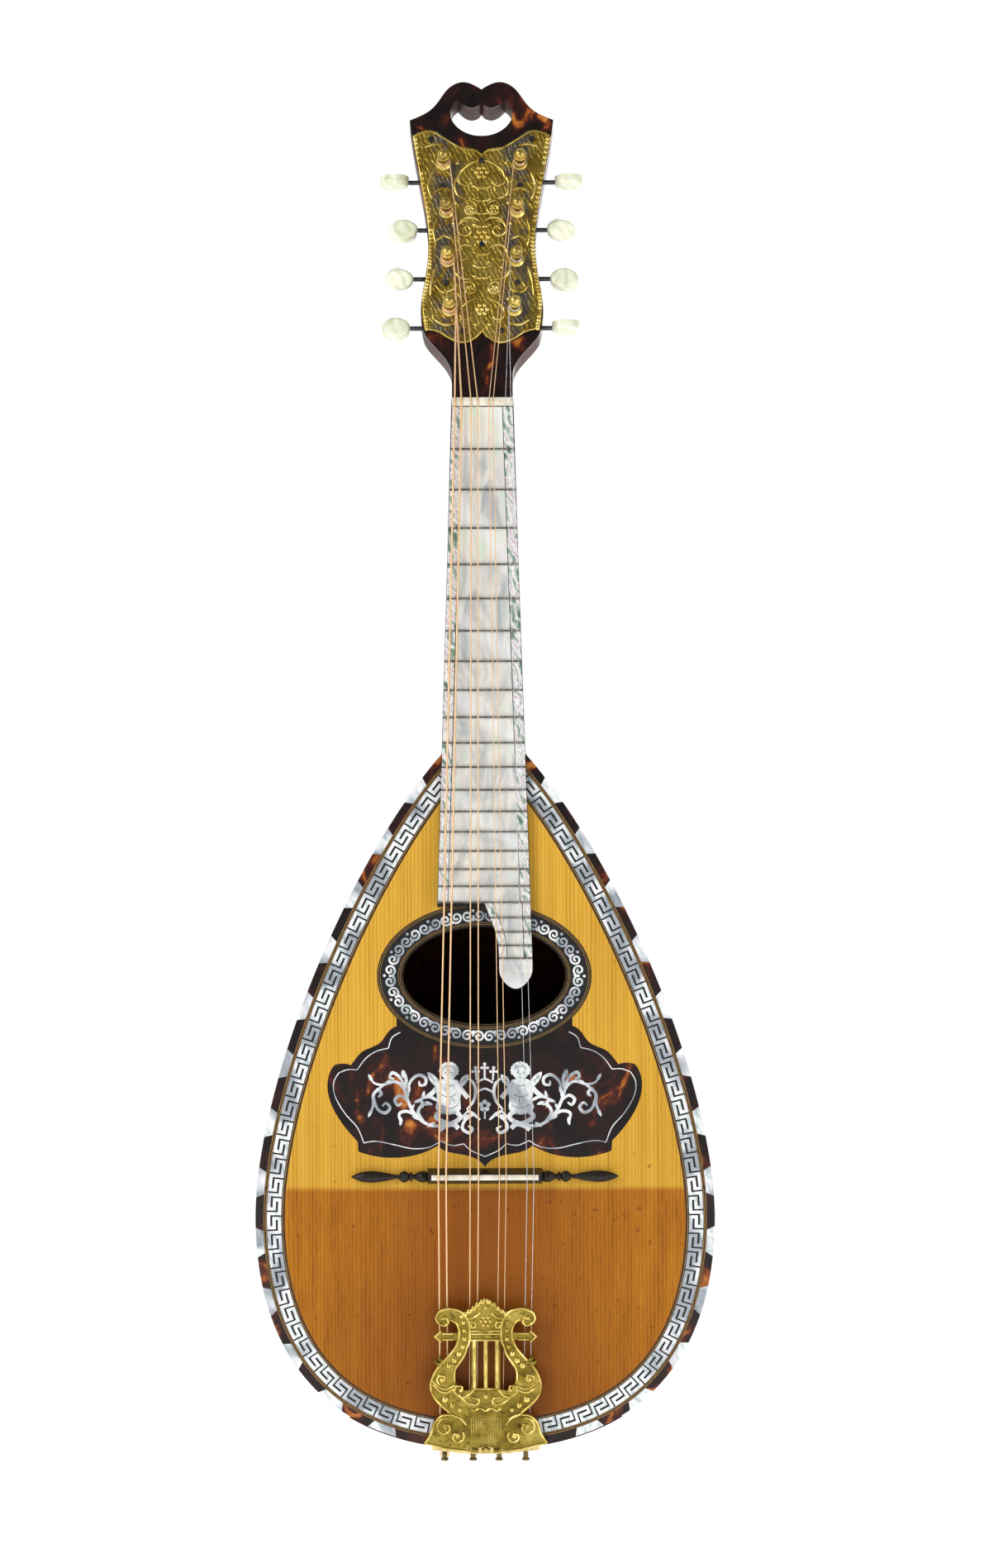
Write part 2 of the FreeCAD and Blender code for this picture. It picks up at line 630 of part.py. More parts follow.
def make_tailpiece():
    """A base plate that bends over the tail, four hitch pins, and a hinged lyre-shaped cover."""
    thick = size("base_thickness")
    under = size("clasp_thickness") + 0.15
    plate = bent_piece("base_front", [flat_face(base_plate_edges(under + thick))], -thick, 0.0)
    flange = doc.addObject("Part::Feature", "flange_drawing")
    flange.Shape = band(-23.0, 23.0, -under - thick, -under)
    fold = doc.addObject("Part::Extrusion", "base_flange")
    fold.Base = flange
    fold.DirMode = "Custom"
    fold.Dir = V(0, 1, 0)
    fold.Solid = True
    fold.Placement.Base = V(0, 9.6, 0)
    bind(fold, {"LengthFwd": "Sizes.pin_depth - 4"})
    lugs = []
    for side in (-1, 1):
        lug = doc.addObject("Part::Box", "hinge_lug")
        bind(lug, {"Length": "1.3", "Width": "4.7", "Height": "2.4",
                   "Placement.Base.x": "%.2f" % (side * 2.55 - 0.65),
                   "Placement.Base.y": "Sizes.hinge_front - 1.2",
                   "Placement.Base.z": "Sizes.hinge_height - 1.2"})
        lugs.append(lug)
    whole = doc.addObject("Part::MultiFuse", "base_whole")
    whole.Shapes = [plate, fold] + lugs
    drills = []
    for x in PIN_PLACES:
        drill = doc.addObject("Part::Cylinder", "pin_hole")
        bind(drill, {"Radius": "Sizes.pin_radius + 0.03", "Height": "8", "Placement.Base.x": "%.2f" % x,
                     "Placement.Base.y": "Sizes.pin_depth", "Placement.Base.z": "-5"})
        drills.append(drill)
    bore = doc.addObject("Part::Cylinder", "hinge_hole")
    bore.Placement.Rotation = FreeCAD.Rotation(V(0, 1, 0), 90)
    bind(bore, {"Radius": "Sizes.hinge_pin_radius", "Height": "12", "Placement.Base.x": "-6",
                "Placement.Base.y": "Sizes.hinge_front", "Placement.Base.z": "Sizes.hinge_height"})
    holes = doc.addObject("Part::Compound", "base_holes")
    holes.Links = drills + [bore]
    base = doc.addObject("Part::Cut", "tailpiece_base")
    base.Base = whole
    base.Tool = holes
    keep(base, "tailpiece_base")

    pins = []
    for x in PIN_PLACES:
        start = edge_height(x) - under
        neck = start + under - 4.9 - edge_height(x)
        pin = doc.addObject("Part::Feature", "hitch_pin")
        radius, head = size("pin_radius"), size("pin_head_radius")
        profile = [V(0, 0, start), V(radius, 0, start), V(radius, 0, neck), V(head - 0.3, 0, neck - 0.25),
                   V(head, 0, neck - 0.8), V(head - 0.4, 0, neck - 1.4), V(0, 0, neck - 1.6), V(0, 0, start)]
        pin.Shape = Part.Face(Part.makePolygon(profile)).revolve(V(0, 0, 0), V(0, 0, 1), 360)
        pin.Placement.Base = V(x, size("pin_depth"), 0)
        pins.append(pin)
    row = doc.addObject("Part::Compound", "hitch_pins")
    row.Links = pins
    keep(row, "hitch_pins")

    axle = new_body("cover_hinge_pin")
    reach, rod, ball = 6.3, size("hinge_pin_radius"), size("knuckle_radius")
    shoulder = math.sqrt(ball ** 2 - rod ** 2)
    profile = chain((-reach, 0.0), (-reach, rod), (-shoulder, rod))
    profile.append(Part.Arc(V(-shoulder, rod, 0), V(0, ball, 0), V(shoulder, rod, 0)))
    profile += chain((shoulder, rod), (reach, rod), (reach, 0.0), (-reach, 0.0))
    add_revolution(axle, add_sketch(axle, "hinge_pin_profile", "XZ_Plane", profile), "H_Axis")
    bind(axle, {"Placement.Base.y": "Sizes.hinge_front", "Placement.Base.z": "Sizes.hinge_height"})
    keep(axle, "cover_hinge_pin")


def base_plate_edges(low):
    """The base plate on the soundboard: a flared foot and a straight upper edge under the cover."""
    sides = [(23.4, 0.2), (21.0, 8.0), (17.6, 14.0), (16.4, 22.0), (16.4, 25.5)]
    bottom = [(0.0, -low), (12.0, -low + 0.35), (23.4, 0.2)]
    edges = smooth(*bottom) + smooth(*sides)
    return mirrored(edges) + chain((16.4, 25.5), (-16.4, 25.5))


def cover_outline():
    """The lyre: crest, scrolled arms, arrow bar, bowl and flared foot, right half mirrored."""
    crest = smooth((0.0, 67.1), (3.2, 65.6), (6.0, 62.9), (9.2, 61.0))
    scroll = smooth((9.2, 61.0), (12.0, 63.0), (16.1, 63.6), (20.3, 62.0), (21.8, 59.0), (20.4, 56.2),
                    (17.4, 55.2), (15.4, 57.0), (15.2, 58.9))
    arm = smooth((15.2, 58.9), (12.8, 56.6), (11.8, 52.4))
    arrow = chain((11.8, 52.4), (19.2, 52.4), (19.2, 53.7), (22.4, 50.8), (19.2, 47.9), (19.2, 49.2),
                  (12.2, 49.2))
    bulge = smooth((12.2, 49.2), (13.9, 45.6), (17.6, 41.0), (22.0, 36.0), (24.2, 30.0), (23.3, 24.8),
                   (20.2, 20.3), (15.2, 16.4))
    foot = smooth((15.2, 16.4), (19.2, 16.0), (22.6, 12.6), (24.2, 7.6), (27.0, 3.2))
    bottom = smooth((27.0, 3.2), (16.0, 0.5), (6.4, -0.8))
    notch = chain((6.4, -0.8), (3.4, -0.8), (3.4, 1.9), (1.2, 1.9), (1.2, 3.1), (0.0, 3.1))
    return mirrored(crest + scroll + arm + arrow + bulge + foot + bottom + notch)


def cover_windows():
    """Openings of the lyre: one beside each outer rod, and one between each pair of rods."""
    side = smooth((6.2, 48.6), (7.7, 45.5), (8.6, 42.6), (10.6, 39.4), (12.9, 35.6), (13.0, 31.0), (11.8, 28.4),
                  (9.0, 26.8), (6.2, 27.6))
    edges = mirrored(side + chain((6.2, 27.6), (6.2, 48.6)))
    for left, right in ((-3.9, -0.95), (0.95, 3.9)):
        edges += rectangle(left, right, 28.0, 48.6)
    return edges


def make_cover():
    """The cover swings about the hinge pin; its own frame stands on the hinge axis."""
    cover = new_body("tailpiece_cover")
    height = size("hinge_height")
    edges = []
    for edge in cover_outline() + cover_windows():
        edge.translate(V(0, -height, 0))
        edges.append(edge)
    half = size("cover_thickness") / 2
    plate = add_sketch(cover, "lyre_outline", "XZ_Plane", edges, -half)
    add_pad(cover, plate, "Sizes.cover_thickness")
    knuckles = add_sketch(cover, "knuckles", "YZ_Plane", [], 0.0)
    add_circles(knuckles, [(0.0, 0.0)], "2 * Sizes.knuckle_radius")
    add_pad(cover, knuckles, "12", centred=True)
    slot = add_sketch(cover, "knuckle_slot", "XZ_Plane", rectangle(-3.4, 3.4, -3.0, 1.7))
    add_pocket(cover, slot, "12", centred=True)
    bore = add_sketch(cover, "hinge_bore", "YZ_Plane", [], 0.0)
    add_circles(bore, [(0.0, 0.0)], "2 * Sizes.hinge_bore")
    add_pocket(cover, bore, "20", centred=True)
    cover.Placement = FreeCAD.Placement(V(0, 0, 0), FreeCAD.Rotation(V(1, 0, 0), size("cover_tilt")))
    bind(cover, {"Placement.Base.y": "Sizes.hinge_front", "Placement.Base.z": "Sizes.hinge_height",
                 "Placement.Rotation.Angle": "Sizes.cover_tilt"})
    keep(cover, "tailpiece_cover")


# ---------------------------------------------------------------- neck, fingerboard, nut
def board_half_width(height):
    return size("nut_half_width") + (size("nut_height") - height) * size("board_slope")


def make_neck():
    """The neck tapers to the nut, and its top is cut to the head's slope for the scarf joint."""
    neck = new_body("neck")
    top = size("nut_height") + 14.0
    low = size("body_length") + 0.2
    first = half_ellipse_sketch(neck, "section_at_body", size("shoulder_half_width") - 0.1,
                                size("neck_depth_body"), low)
    second = half_ellipse_sketch(neck, "section_at_head", size("nut_half_width") - 0.1,
                                 size("neck_depth_nut"), top)
    add_loft(neck, first, second)
    joint = size("nut_height") + size("nut_thickness")
    slope = math.tan(math.radians(size("head_tilt")))
    above = add_sketch(neck, "scarf", "YZ_Plane",
                       loop((-8.0, joint + 8.0 * slope), (60.0, joint - 60.0 * slope), (60.0, top + 30.0),
                            (-8.0, top + 30.0)))
    add_pocket(neck, above, "2 * Sizes.body_half_width", centred=True)
    keep(neck, "neck")


def fret_height(number):
    return size("nut_height") - size("scale_length") * (1 - 2 ** (-number / 12.0))


def extension_side(height):
    """The left edge of the fingerboard's treble extension."""
    return 6.2 - 6.2 * max(0.0, min(1.0, (height - 214.0) / 21.0)) ** 2


def make_fingerboard():
    end, nut = size("board_end"), size("nut_height")
    tip = size("extension_end")
    right = board_half_width(tip + 9.0)
    edges = chain((-size("nut_half_width"), nut), (-board_half_width(end), end), (-3.4, end))
    edges += smooth((-3.4, end), (0.6, 232.6), (3.6, 227.6), (5.4, 220.6), (6.2, 212.0), (6.2, 208.0))
    edges += smooth((6.2, 208.0), (8.4, 202.4), (13.7, tip), (18.6, 202.4), (right, tip + 9.0))
    edges += chain((right, tip + 9.0), (size("nut_half_width"), nut), (-size("nut_half_width"), nut))
    board = new_body("fingerboard")
    add_pad(board, add_sketch(board, "fingerboard_outline", "XZ_Plane", edges), "Sizes.ebony_thickness")
    keep(board, "fingerboard")

    gap, edging = size("inlay_gap"), size("edging_width")
    wire = size("fret_width") / 2
    fields, edgings, frets = [], [], []
    for number in range(FRET_COUNT + 1):
        high = fret_height(number) - wire
        if number:
            height = fret_height(number)
            left = -board_half_width(height) if height > end else extension_side(height)
            frets += rectangle(left + 0.15, board_half_width(height) - 0.15, high, high + 2 * wire)
        if number == FRET_COUNT:
            fields += tongue_end(high)
            break
        low = fret_height(number + 1) + wire
        full = fret_height(number + 1) > end
        for rows, inner_left, inner_right in strips(full, edging, gap):
            corners = []
            for height in (low, high):
                left, right = strip_edges(height, full)
                corners.append((inner_left(left, right), inner_right(left, right), height))
            (la, ra, za), (lb, rb, zb) = corners
            target = fields if rows == "field" else edgings
            target += loop((la, za), (ra, za), (rb, zb), (lb, zb))
    for label, drawing, front in (("fingerboard_pearl", fields, "Sizes.pearl_thickness"),
                                  ("fingerboard_edging", edgings, "Sizes.pearl_thickness"),
                                  ("frets", frets, "Sizes.pearl_thickness + Sizes.fret_rise")):
        inlay = new_body(label)
        sketch = add_sketch(inlay, label + "_outline", "XZ_Plane", drawing, size("ebony_thickness"))
        add_pad(inlay, sketch, front)
        keep(inlay, label)

    bone = new_body("nut")
    low, high = size("nut_height"), size("nut_height") + size("nut_thickness")
    top = size("nut_top")
    middle = (low + high) / 2
    profile = loop((0.0, low), (-top + 0.08, low), (-top, middle), (-top + 0.62, high), (0.0, high))
    sketch = add_sketch(bone, "nut_section", "YZ_Plane", profile)
    add_pad(bone, sketch, "2 * Sizes.nut_half_width", centred=True)
    keep(bone, "nut")


def tongue_end(high):
    """The shell on the rounded end of the extension, below the last fret."""
    tip, inset = size("extension_end"), 0.3
    left, right = strip_edges(high, False)
    shoulder = board_half_width(tip + 9.0) - inset
    edges = chain((shoulder, tip + 9.0), (right, high), (left, high), (6.2 + inset, 208.0))
    return edges + smooth((6.2 + inset, 208.0), (8.4 + inset, 202.6), (13.7, tip + inset),
                          (18.6 - inset, 202.6), (shoulder, tip + 9.0))


def strip_edges(height, full):
    """The left and right limits of the inlaid surface at a height."""
    inset = 0.2
    left = -board_half_width(height) if full else extension_side(height)
    return left + inset, board_half_width(height) - inset


def strips(full, edging, gap):
    """The three strips of one fret space: edging, pearl field, edging."""
    width = edging if full else edging * 0.8
    return (
        ("edging", lambda left, right: left, lambda left, right: left + width),
        ("field", lambda left, right: left + width + gap, lambda left, right: right - width - gap),
        ("edging", lambda left, right: right - width, lambda left, right: right),
    )


# ---------------------------------------------------------------- head
def head_edges():
    """The head's outline: neck, waisted sides, ears and a crest with two lobes."""
    foot = chain((13.1, 0.0), (13.1, 9.0))
    swell = smooth((13.1, 9.0), (14.6, 16.0), (19.4, 22.5), (24.9, 29.6))
    side = smooth((24.9, 29.6), (26.3, 44.5), (24.4, 57.0), (23.3, 70.0), (24.6, 86.0), (27.6, 104.0),
                  (30.3, 120.0), (31.5, 129.4))
    crest = smooth((31.5, 129.4), (27.0, 131.4), (22.5, 134.2), (18.4, 139.1), (14.6, 144.4), (8.1, 147.5),
                   (2.6, 145.7), (0.0, 144.0))
    return mirrored(foot + swell + side + crest) + chain((-13.1, 0.0), (13.1, 0.0))


def hole_edges():
    """The hanging hole: a half oval below, two scallops above."""
    lower = smooth((0.0, 122.0), (5.5, 122.9), (10.5, 126.0), (13.5, 131.0), (12.9, 136.4), (10.3, 139.2))
    upper = smooth((10.3, 139.2), (8.2, 137.0), (4.4, 135.3), (1.5, 136.2), (0.0, 138.0))
    return mirrored(lower + upper)


def plate_edges():
    """The machine plate: a lobed lower edge, waisted sides, and a wave with a centre dip above."""
    bottom = smooth((0.0, 30.0), (4.0, 26.2), (8.5, 24.8), (14.0, 26.6), (19.0, 29.8), (24.6, 31.0))
    side = smooth((24.6, 31.0), (26.0, 44.5), (24.1, 57.0), (23.0, 70.0), (24.3, 86.0), (27.3, 104.0),
                  (30.2, 121.8))
    top = smooth((30.2, 121.8), (26.0, 123.8), (21.5, 124.2), (15.8, 120.7), (8.6, 116.3), (2.4, 115.2),
                 (0.0, 112.8))
    return mirrored(bottom + side + top)


SCREW_PLACES = [(-22.0, 120.0), (22.0, 120.0), (0.0, 109.8), (-16.8, 98.1), (16.8, 98.1), (0.0, 70.8),
                (-15.5, 52.9), (15.5, 52.9), (-8.2, 30.6), (8.2, 30.6)]


def machine_places():
    """Every machine: name, side sign, post x, post height, button end and button roll."""
    for side, sign in (("left", -1), ("right", 1)):
        for number, (across, along, end, roll) in enumerate(MACHINES[side], start=1):
            yield "%s_%d" % (side, number), sign, across, along, end, roll


def pocket_rectangles():
    """Pockets in the head, each for one worm and gear."""
    edges = []
    half = size("pocket_half_width")
    for name, sign, across, along, end, roll in machine_places():
        low = along - size("centre_distance") - 2.75
        high = along + size("gear_outer") + 0.5
        edges += rectangle(sign * across - half, sign * across + half, low, high)
    return edges


def make_head():
    centres = [(sign * across, along) for name, sign, across, along, end, roll in machine_places()]
    shafts = [place[3] - size("centre_distance") for place in machine_places() if place[1] > 0]

    core = new_body("headstock")
    skin = size("veneer_thickness")
    add_pad(core, add_sketch(core, "head_outline", "XZ_Plane", head_edges() + hole_edges(), -skin),
            "Sizes.head_depth - Sizes.veneer_thickness", reverse=True)
    add_pocket(core, add_sketch(core, "machine_pockets", "XZ_Plane", pocket_rectangles(), -skin),
               "Sizes.pocket_depth - Sizes.veneer_thickness")
    feet = add_circles(add_sketch(core, "foot_bores", "XZ_Plane", [], -size("pocket_depth")), centres,
                       "2 * Sizes.foot_bore")
    add_pocket(core, feet, "Sizes.post_foot_end - Sizes.pocket_depth + 0.25")
    pilots = add_circles(add_sketch(core, "screw_pilots", "XZ_Plane", [], -skin), SCREW_PLACES,
                         "2 * Sizes.screw_radius + 0.04")
    add_pocket(core, pilots, "5")
    for sign in (-1, 1):
        name = "shaft_bores_%s" % ("left" if sign < 0 else "right")
        bores = add_circles(add_sketch(core, name, "YZ_Plane", [], sign * 16.0),
                            [(size("shaft_depth"), along) for along in shafts], "2 * Sizes.shaft_clearance")
        add_pocket(core, bores, reverse=sign > 0)
    keep(place_on_head(core), "headstock")

    veneer = new_body("head_veneer")
    add_pad(veneer, add_sketch(veneer, "veneer_outline", "XZ_Plane", head_edges() + hole_edges(), -skin),
            "Sizes.veneer_thickness")
    add_pocket(veneer, add_sketch(veneer, "veneer_windows", "XZ_Plane", pocket_rectangles()),
               "Sizes.veneer_thickness")
    pilots = add_circles(add_sketch(veneer, "veneer_pilots", "XZ_Plane", []), SCREW_PLACES,
                         "2 * Sizes.screw_radius + 0.04")
    add_pocket(veneer, pilots, "Sizes.veneer_thickness")
    keep(place_on_head(veneer), "head_veneer")

    plate = new_body("tuner_plate")
    add_pad(plate, add_sketch(plate, "plate_outline", "XZ_Plane", plate_edges()), "Sizes.plate_thickness")
    bores = add_sketch(plate, "plate_bores", "XZ_Plane", [], size("plate_thickness"))
    add_circles(bores, centres, "2 * Sizes.plate_bore")
    add_circles(bores, SCREW_PLACES, "2 * Sizes.screw_radius + 0.04")
    add_pocket(plate, bores, "Sizes.plate_thickness")
    keep(place_on_head(plate), "tuner_plate")

    screws = new_body("plate_screws")
    heads = add_circles(add_sketch(screws, "screw_heads", "XZ_Plane", [], size("plate_thickness")), SCREW_PLACES,
                        "2 * Sizes.screw_head_radius")
    add_pad(screws, heads, "0.7")
    shanks = add_circles(add_sketch(screws, "screw_shanks", "XZ_Plane", [], size("plate_thickness")), SCREW_PLACES,
                         "2 * Sizes.screw_radius")
    add_pad(screws, shanks, "5", reverse=True)
    keep(place_on_head(screws), "plate_screws")

    brackets = new_body("worm_brackets")
    lug, half = size("bracket_width"), 1.7
    offset = 3.95
    rows = []
    for name, sign, across, along, end, roll in machine_places():
        shaft = along - size("centre_distance")
        for first in (sign * across - offset - lug, sign * across + offset):
            rows += rectangle(first, first + lug, shaft - half, shaft + half)
    add_pad(brackets, add_sketch(brackets, "bracket_lugs", "XZ_Plane", rows), "Sizes.shaft_depth + 1.8",
            reverse=True)
    bores = add_circles(add_sketch(brackets, "bracket_bores", "YZ_Plane", []),
                        [(size("shaft_depth"), along) for along in shafts], "2 * Sizes.bracket_bore")
    add_pocket(brackets, bores, "90", centred=True)
    keep(place_on_head(brackets), "worm_brackets")


# ---------------------------------------------------------------- tuning machines
def gear_points(twist):
    """One section of the gear: teeth with straight flanks, the first tooth facing the worm."""
    tooth = ((size("gear_root"), 0.55), (size("gear_pitch"), 0.44), (size("gear_outer"), 0.25))
    points = []
    for index in range(GEAR_TEETH):
        middle = -math.pi / 2 + twist + 2 * math.pi * index / GEAR_TEETH
        for radius, half in [(r, -w) for r, w in tooth] + [(r, w) for r, w in reversed(tooth)]:
            angle = middle + half / radius
            points.append((radius * math.cos(angle), radius * math.sin(angle)))
    return points


def make_machine(name, sign, across, along, end, roll):
    """A worm on a shaft with a pearl button, and the string post with its gear."""
    depth = size("shaft_depth")
    shaft_along = along - size("centre_distance")
    post = new_body("string_post_" + name)
    drum, collar, crown = 2.2, 3.3, 2.8
    plate = size("plate_thickness")
    foot, stem = size("post_foot_radius"), size("post_radius")
    profile = chain((0.0, size("post_foot_end")), (foot, size("post_foot_end")), (foot, size("pocket_depth") - 0.3),
                    (stem, size("pocket_depth") - 0.3), (stem, -plate - 0.15), (collar, -plate - 0.15),
                    (collar, -plate - 0.5), (drum, -plate - 1.3), (drum, -8.8), (crown, -9.8), (crown, -10.4),
                    (2.3, -11.0))
    profile += smooth((2.3, -11.0), (2.4, -12.1), (1.5, -13.3), (0.0, -13.7))
    profile += chain((0.0, -13.7), (0.0, size("post_foot_end")))
    add_revolution(post, add_sketch(post, "post_profile_" + name, "XY_Plane", profile), "V_Axis")
    lean = size("gear_half_thickness") * size("worm_lead") / (2 * math.pi * size("worm_pitch_radius"))
    twist = lean / size("gear_pitch")
    front = add_sketch(post, "gear_front_" + name, "XZ_Plane", loop(*gear_points(twist)),
                       -(depth - size("gear_half_thickness")))
    back = add_sketch(post, "gear_back_" + name, "XZ_Plane", loop(*gear_points(-twist)),
                      -(depth + size("gear_half_thickness")))
    add_loft(post, front, back)
    keep(place_on_head(post, sign * across, 0.0, along), "string_post_" + name)

    shaft = new_body("worm_shaft_" + name)
    radius, root = size("shaft_radius"), size("worm_root")
    worm, tail, grip = 3.85, 5.3, 4.5
    inner = sign * across - sign * tail
    outer = sign * (end + grip)
    worm_near, worm_far = sign * across - sign * worm, sign * across + sign * worm
    profile = loop((inner, 0.0), (inner, radius), (worm_near, radius), (worm_near, root), (worm_far, root),
                   (worm_far, radius), (outer, radius), (outer, 0.0))
    add_revolution(shaft, add_sketch(shaft, "shaft_profile_" + name, "XZ_Plane", profile), "H_Axis")
    lead, turns = size("worm_lead"), 3
    first = sign * across - turns * lead / 2
    tip, foot = 0.27, 0.6
    low = root - 0.1
    thread = add_sketch(shaft, "thread_profile_" + name, "XZ_Plane",
                        loop((first - foot, low), (first - tip, size("worm_outer")),
                             (first + tip, size("worm_outer")), (first + foot, low)))
    helix = shaft.newObject("PartDesign::AdditiveHelix", "thread_" + name)
    helix.Profile = thread
    helix.ReferenceAxis = (thread, ["H_Axis"])
    helix.Mode = 0
    bind(helix, {"Pitch": "Sizes.worm_lead", "Height": "%d * Sizes.worm_lead" % turns})
    doc.recompute()
    keep(place_on_head(shaft, 0.0, depth, shaft_along), "worm_shaft_" + name)

    button = new_body("tuner_button_" + name)
    middle = sign * (end + size("button_length") / 2)
    long_half, wide_half = size("button_length") / 2, size("button_width") / 2
    oval = Part.Ellipse(V(middle + long_half, 0, 0), V(middle, wide_half, 0), V(middle, 0, 0))
    add_pad(button, add_sketch(button, "button_oval_" + name, "XZ_Plane", [oval]), "Sizes.button_thickness",
            centred=True)
    rounding = button.newObject("PartDesign::Fillet", "button_rounding_" + name)
    rounding.Base = (button.Tip if button.Tip != rounding else rounding.BaseFeature, ["Edge1", "Edge3"])
    rounding.Radius = 1.9
    doc.recompute()
    socket = add_circles(add_sketch(button, "button_socket_" + name, "YZ_Plane", [], sign * (end - 1.0)),
                         [(0.0, 0.0)], "2 * Sizes.shaft_radius")
    add_pocket(button, socket, "%.2f" % (grip + 1.0), reverse=sign > 0)
    keep(place_on_head(button, 0.0, depth, shaft_along, roll), "tuner_button_" + name)


# ---------------------------------------------------------------- strings
def rounded_wire(points, radius):
    """Straight runs through the points, joined by tangent arcs."""
    edges = []
    here = points[0]
    for before, corner, after in zip(points, points[1:], points[2:]):
        back = before - corner
        ahead = after - corner
        short = min(back.Length, ahead.Length)
        back.normalize()
        ahead.normalize()
        turn = math.pi - back.getAngle(ahead)
        setback = min(radius * math.tan(turn / 2), 0.45 * short)
        start, finish = corner + back * setback, corner + ahead * setback
        bulge = back + ahead
        bulge.normalize()
        true_radius = setback / math.tan(turn / 2)
        reach = true_radius / math.cos(turn / 2) - true_radius
        edges.append(Part.LineSegment(here, start).toShape())
        edges.append(Part.Arc(start, corner + bulge * reach, finish).toShape())
        here = finish
    edges.append(Part.LineSegment(here, points[-1]).toShape())
    return Part.Wire(edges)


def string_route(side, radius, saddle_x, nut_x, pin_x, post):
    """From the hitch pin round the tail edge, over saddle and nut, to the inner side of the post."""
    pin_side = pin_x + side * (size("pin_radius") + radius + 0.12)
    top = size("saddle_top") + radius + 0.02
    nut = size("nut_top") + radius + 0.02
    sign, across, along = post
    reach = across - 2.2 - radius - 0.12
    low = -3.3
    return [V(pin_side, size("pin_depth") + 0.8, low), V(pin_side, 9.1, low), V(pin_side, 8.1, -1.2),
            V(saddle_x, -top, size("bridge_height")),
            V(nut_x, -nut, size("nut_height") + size("nut_thickness") / 2),
            on_head(sign * reach, -5.2, along)]


def make_strings():
    for label, (radius, saddle, nut, pin_x, posts) in COURSES.items():
        pair = []
        for index, (side, number) in enumerate(posts):
            across, along = MACHINES[side][number][:2]
            sign = -1 if side == "left" else 1
            route = string_route(-1 if index == 0 else 1, radius, saddle[index], nut[index], pin_x,
                                 (sign, across, along))
            path = rounded_wire(route, 1.2)
            start = route[1] - route[0]
            start.normalize()
            ring = Part.Wire([Part.Circle(route[0], start, radius).toShape()])
            cord = path.makePipeShell([ring], True, False)
            expected = math.pi * radius ** 2 * path.Length
            if abs(cord.Volume - expected) > 0.02 * expected:
                raise RuntimeError("a string of %s has volume %.2f, not %.2f" % (label, cord.Volume, expected))
            pair.append(cord)
        course = doc.addObject("Part::Feature", label)
        course.Shape = Part.makeCompound(pair)
        keep(course, label)


# ---------------------------------------------------------------- build, check and write
make_bowl()
make_soundboard()
make_binding()
make_braces()
make_bridge()
make_tailpiece()
make_cover()
make_neck()
make_fingerboard()
make_head()
for machine in machine_places():
    make_machine(*machine)
make_strings()
doc.recompute()

for made in doc.Objects:
    if "Invalid" in made.State or "Error" in made.State:
        raise RuntimeError("%s failed: %s" % (made.Name, made.State))
for made in SUB_PARTS:
    if made.Shape.isNull() or not made.Shape.isValid() or not made.Shape.Solids:
        raise RuntimeError("%s has no valid solid" % made.Label)

os.makedirs("parts", exist_ok=True)
for made in SUB_PARTS:
    made.Shape.exportStep("parts/%s.step" % made.Label)
print("wrote %d sub-parts" % len(SUB_PARTS))
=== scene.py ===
"""Looks of a Neapolitan (bowlback) mandolin: materials, inlays, relief, string turns, light and camera.

Everything is in metres in the frame of the CAD model: +Z up the neck, -Y out of the strings, +X right.
The helpers take millimetres, because the instrument's own dimensions are round numbers there.
"""
import bpy
import bisect
import json
import math
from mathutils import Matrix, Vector


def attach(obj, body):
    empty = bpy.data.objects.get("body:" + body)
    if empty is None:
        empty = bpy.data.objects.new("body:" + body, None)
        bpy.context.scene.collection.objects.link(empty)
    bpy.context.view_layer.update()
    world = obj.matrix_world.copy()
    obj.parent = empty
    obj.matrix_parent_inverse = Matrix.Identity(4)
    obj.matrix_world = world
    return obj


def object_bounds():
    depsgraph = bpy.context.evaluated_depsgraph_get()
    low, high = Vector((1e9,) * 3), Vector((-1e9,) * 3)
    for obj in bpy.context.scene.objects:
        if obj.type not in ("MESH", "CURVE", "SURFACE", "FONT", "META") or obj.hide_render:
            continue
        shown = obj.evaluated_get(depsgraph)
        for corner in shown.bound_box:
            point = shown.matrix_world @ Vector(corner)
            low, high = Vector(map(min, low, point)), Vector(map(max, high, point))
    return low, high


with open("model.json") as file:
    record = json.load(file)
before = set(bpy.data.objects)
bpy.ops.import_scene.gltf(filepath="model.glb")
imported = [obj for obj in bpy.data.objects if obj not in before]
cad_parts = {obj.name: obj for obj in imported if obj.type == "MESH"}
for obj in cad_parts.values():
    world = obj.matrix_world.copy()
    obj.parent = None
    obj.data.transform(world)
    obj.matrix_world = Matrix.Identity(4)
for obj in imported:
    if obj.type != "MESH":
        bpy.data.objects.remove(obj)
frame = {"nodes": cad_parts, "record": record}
cad_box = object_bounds()
MM = 0.001
ROOT = "instrument"

# -------------------- dimensions, in millimetres
HALF_WIDTH = 99.04
WIDEST = 100.22
LENGTH = 301.1
SHOULDER = 17.8
CANT_HEIGHT = 113.9
CANT_SLOPE = math.tan(math.radians(5.0))
MEANDER_START = 5.0
MEANDER_PERIOD = 8.65
BOARD_THICKNESS = 2.6
RIM_JOINT = 0.3
BOWL_RATIO = 1.4
RIB_COUNT = 23
SEAM_RADIUS = 0.26
HOLE_HEIGHT = 205.2
HOLE_HALF = (35.1, 21.0)
BAND_HALF = (40.9, 26.2)
ROSETTE_HALF = (46.2, 31.5)
HEAD_TILT = math.radians(15.0)
HEAD_TOP = 453.9
HINGE = (5.6, 0.2)
COVER_TILT = math.radians(8.2)
COVER_HALF_THICKNESS = 0.6
PICKGUARD_RISE = 0.12


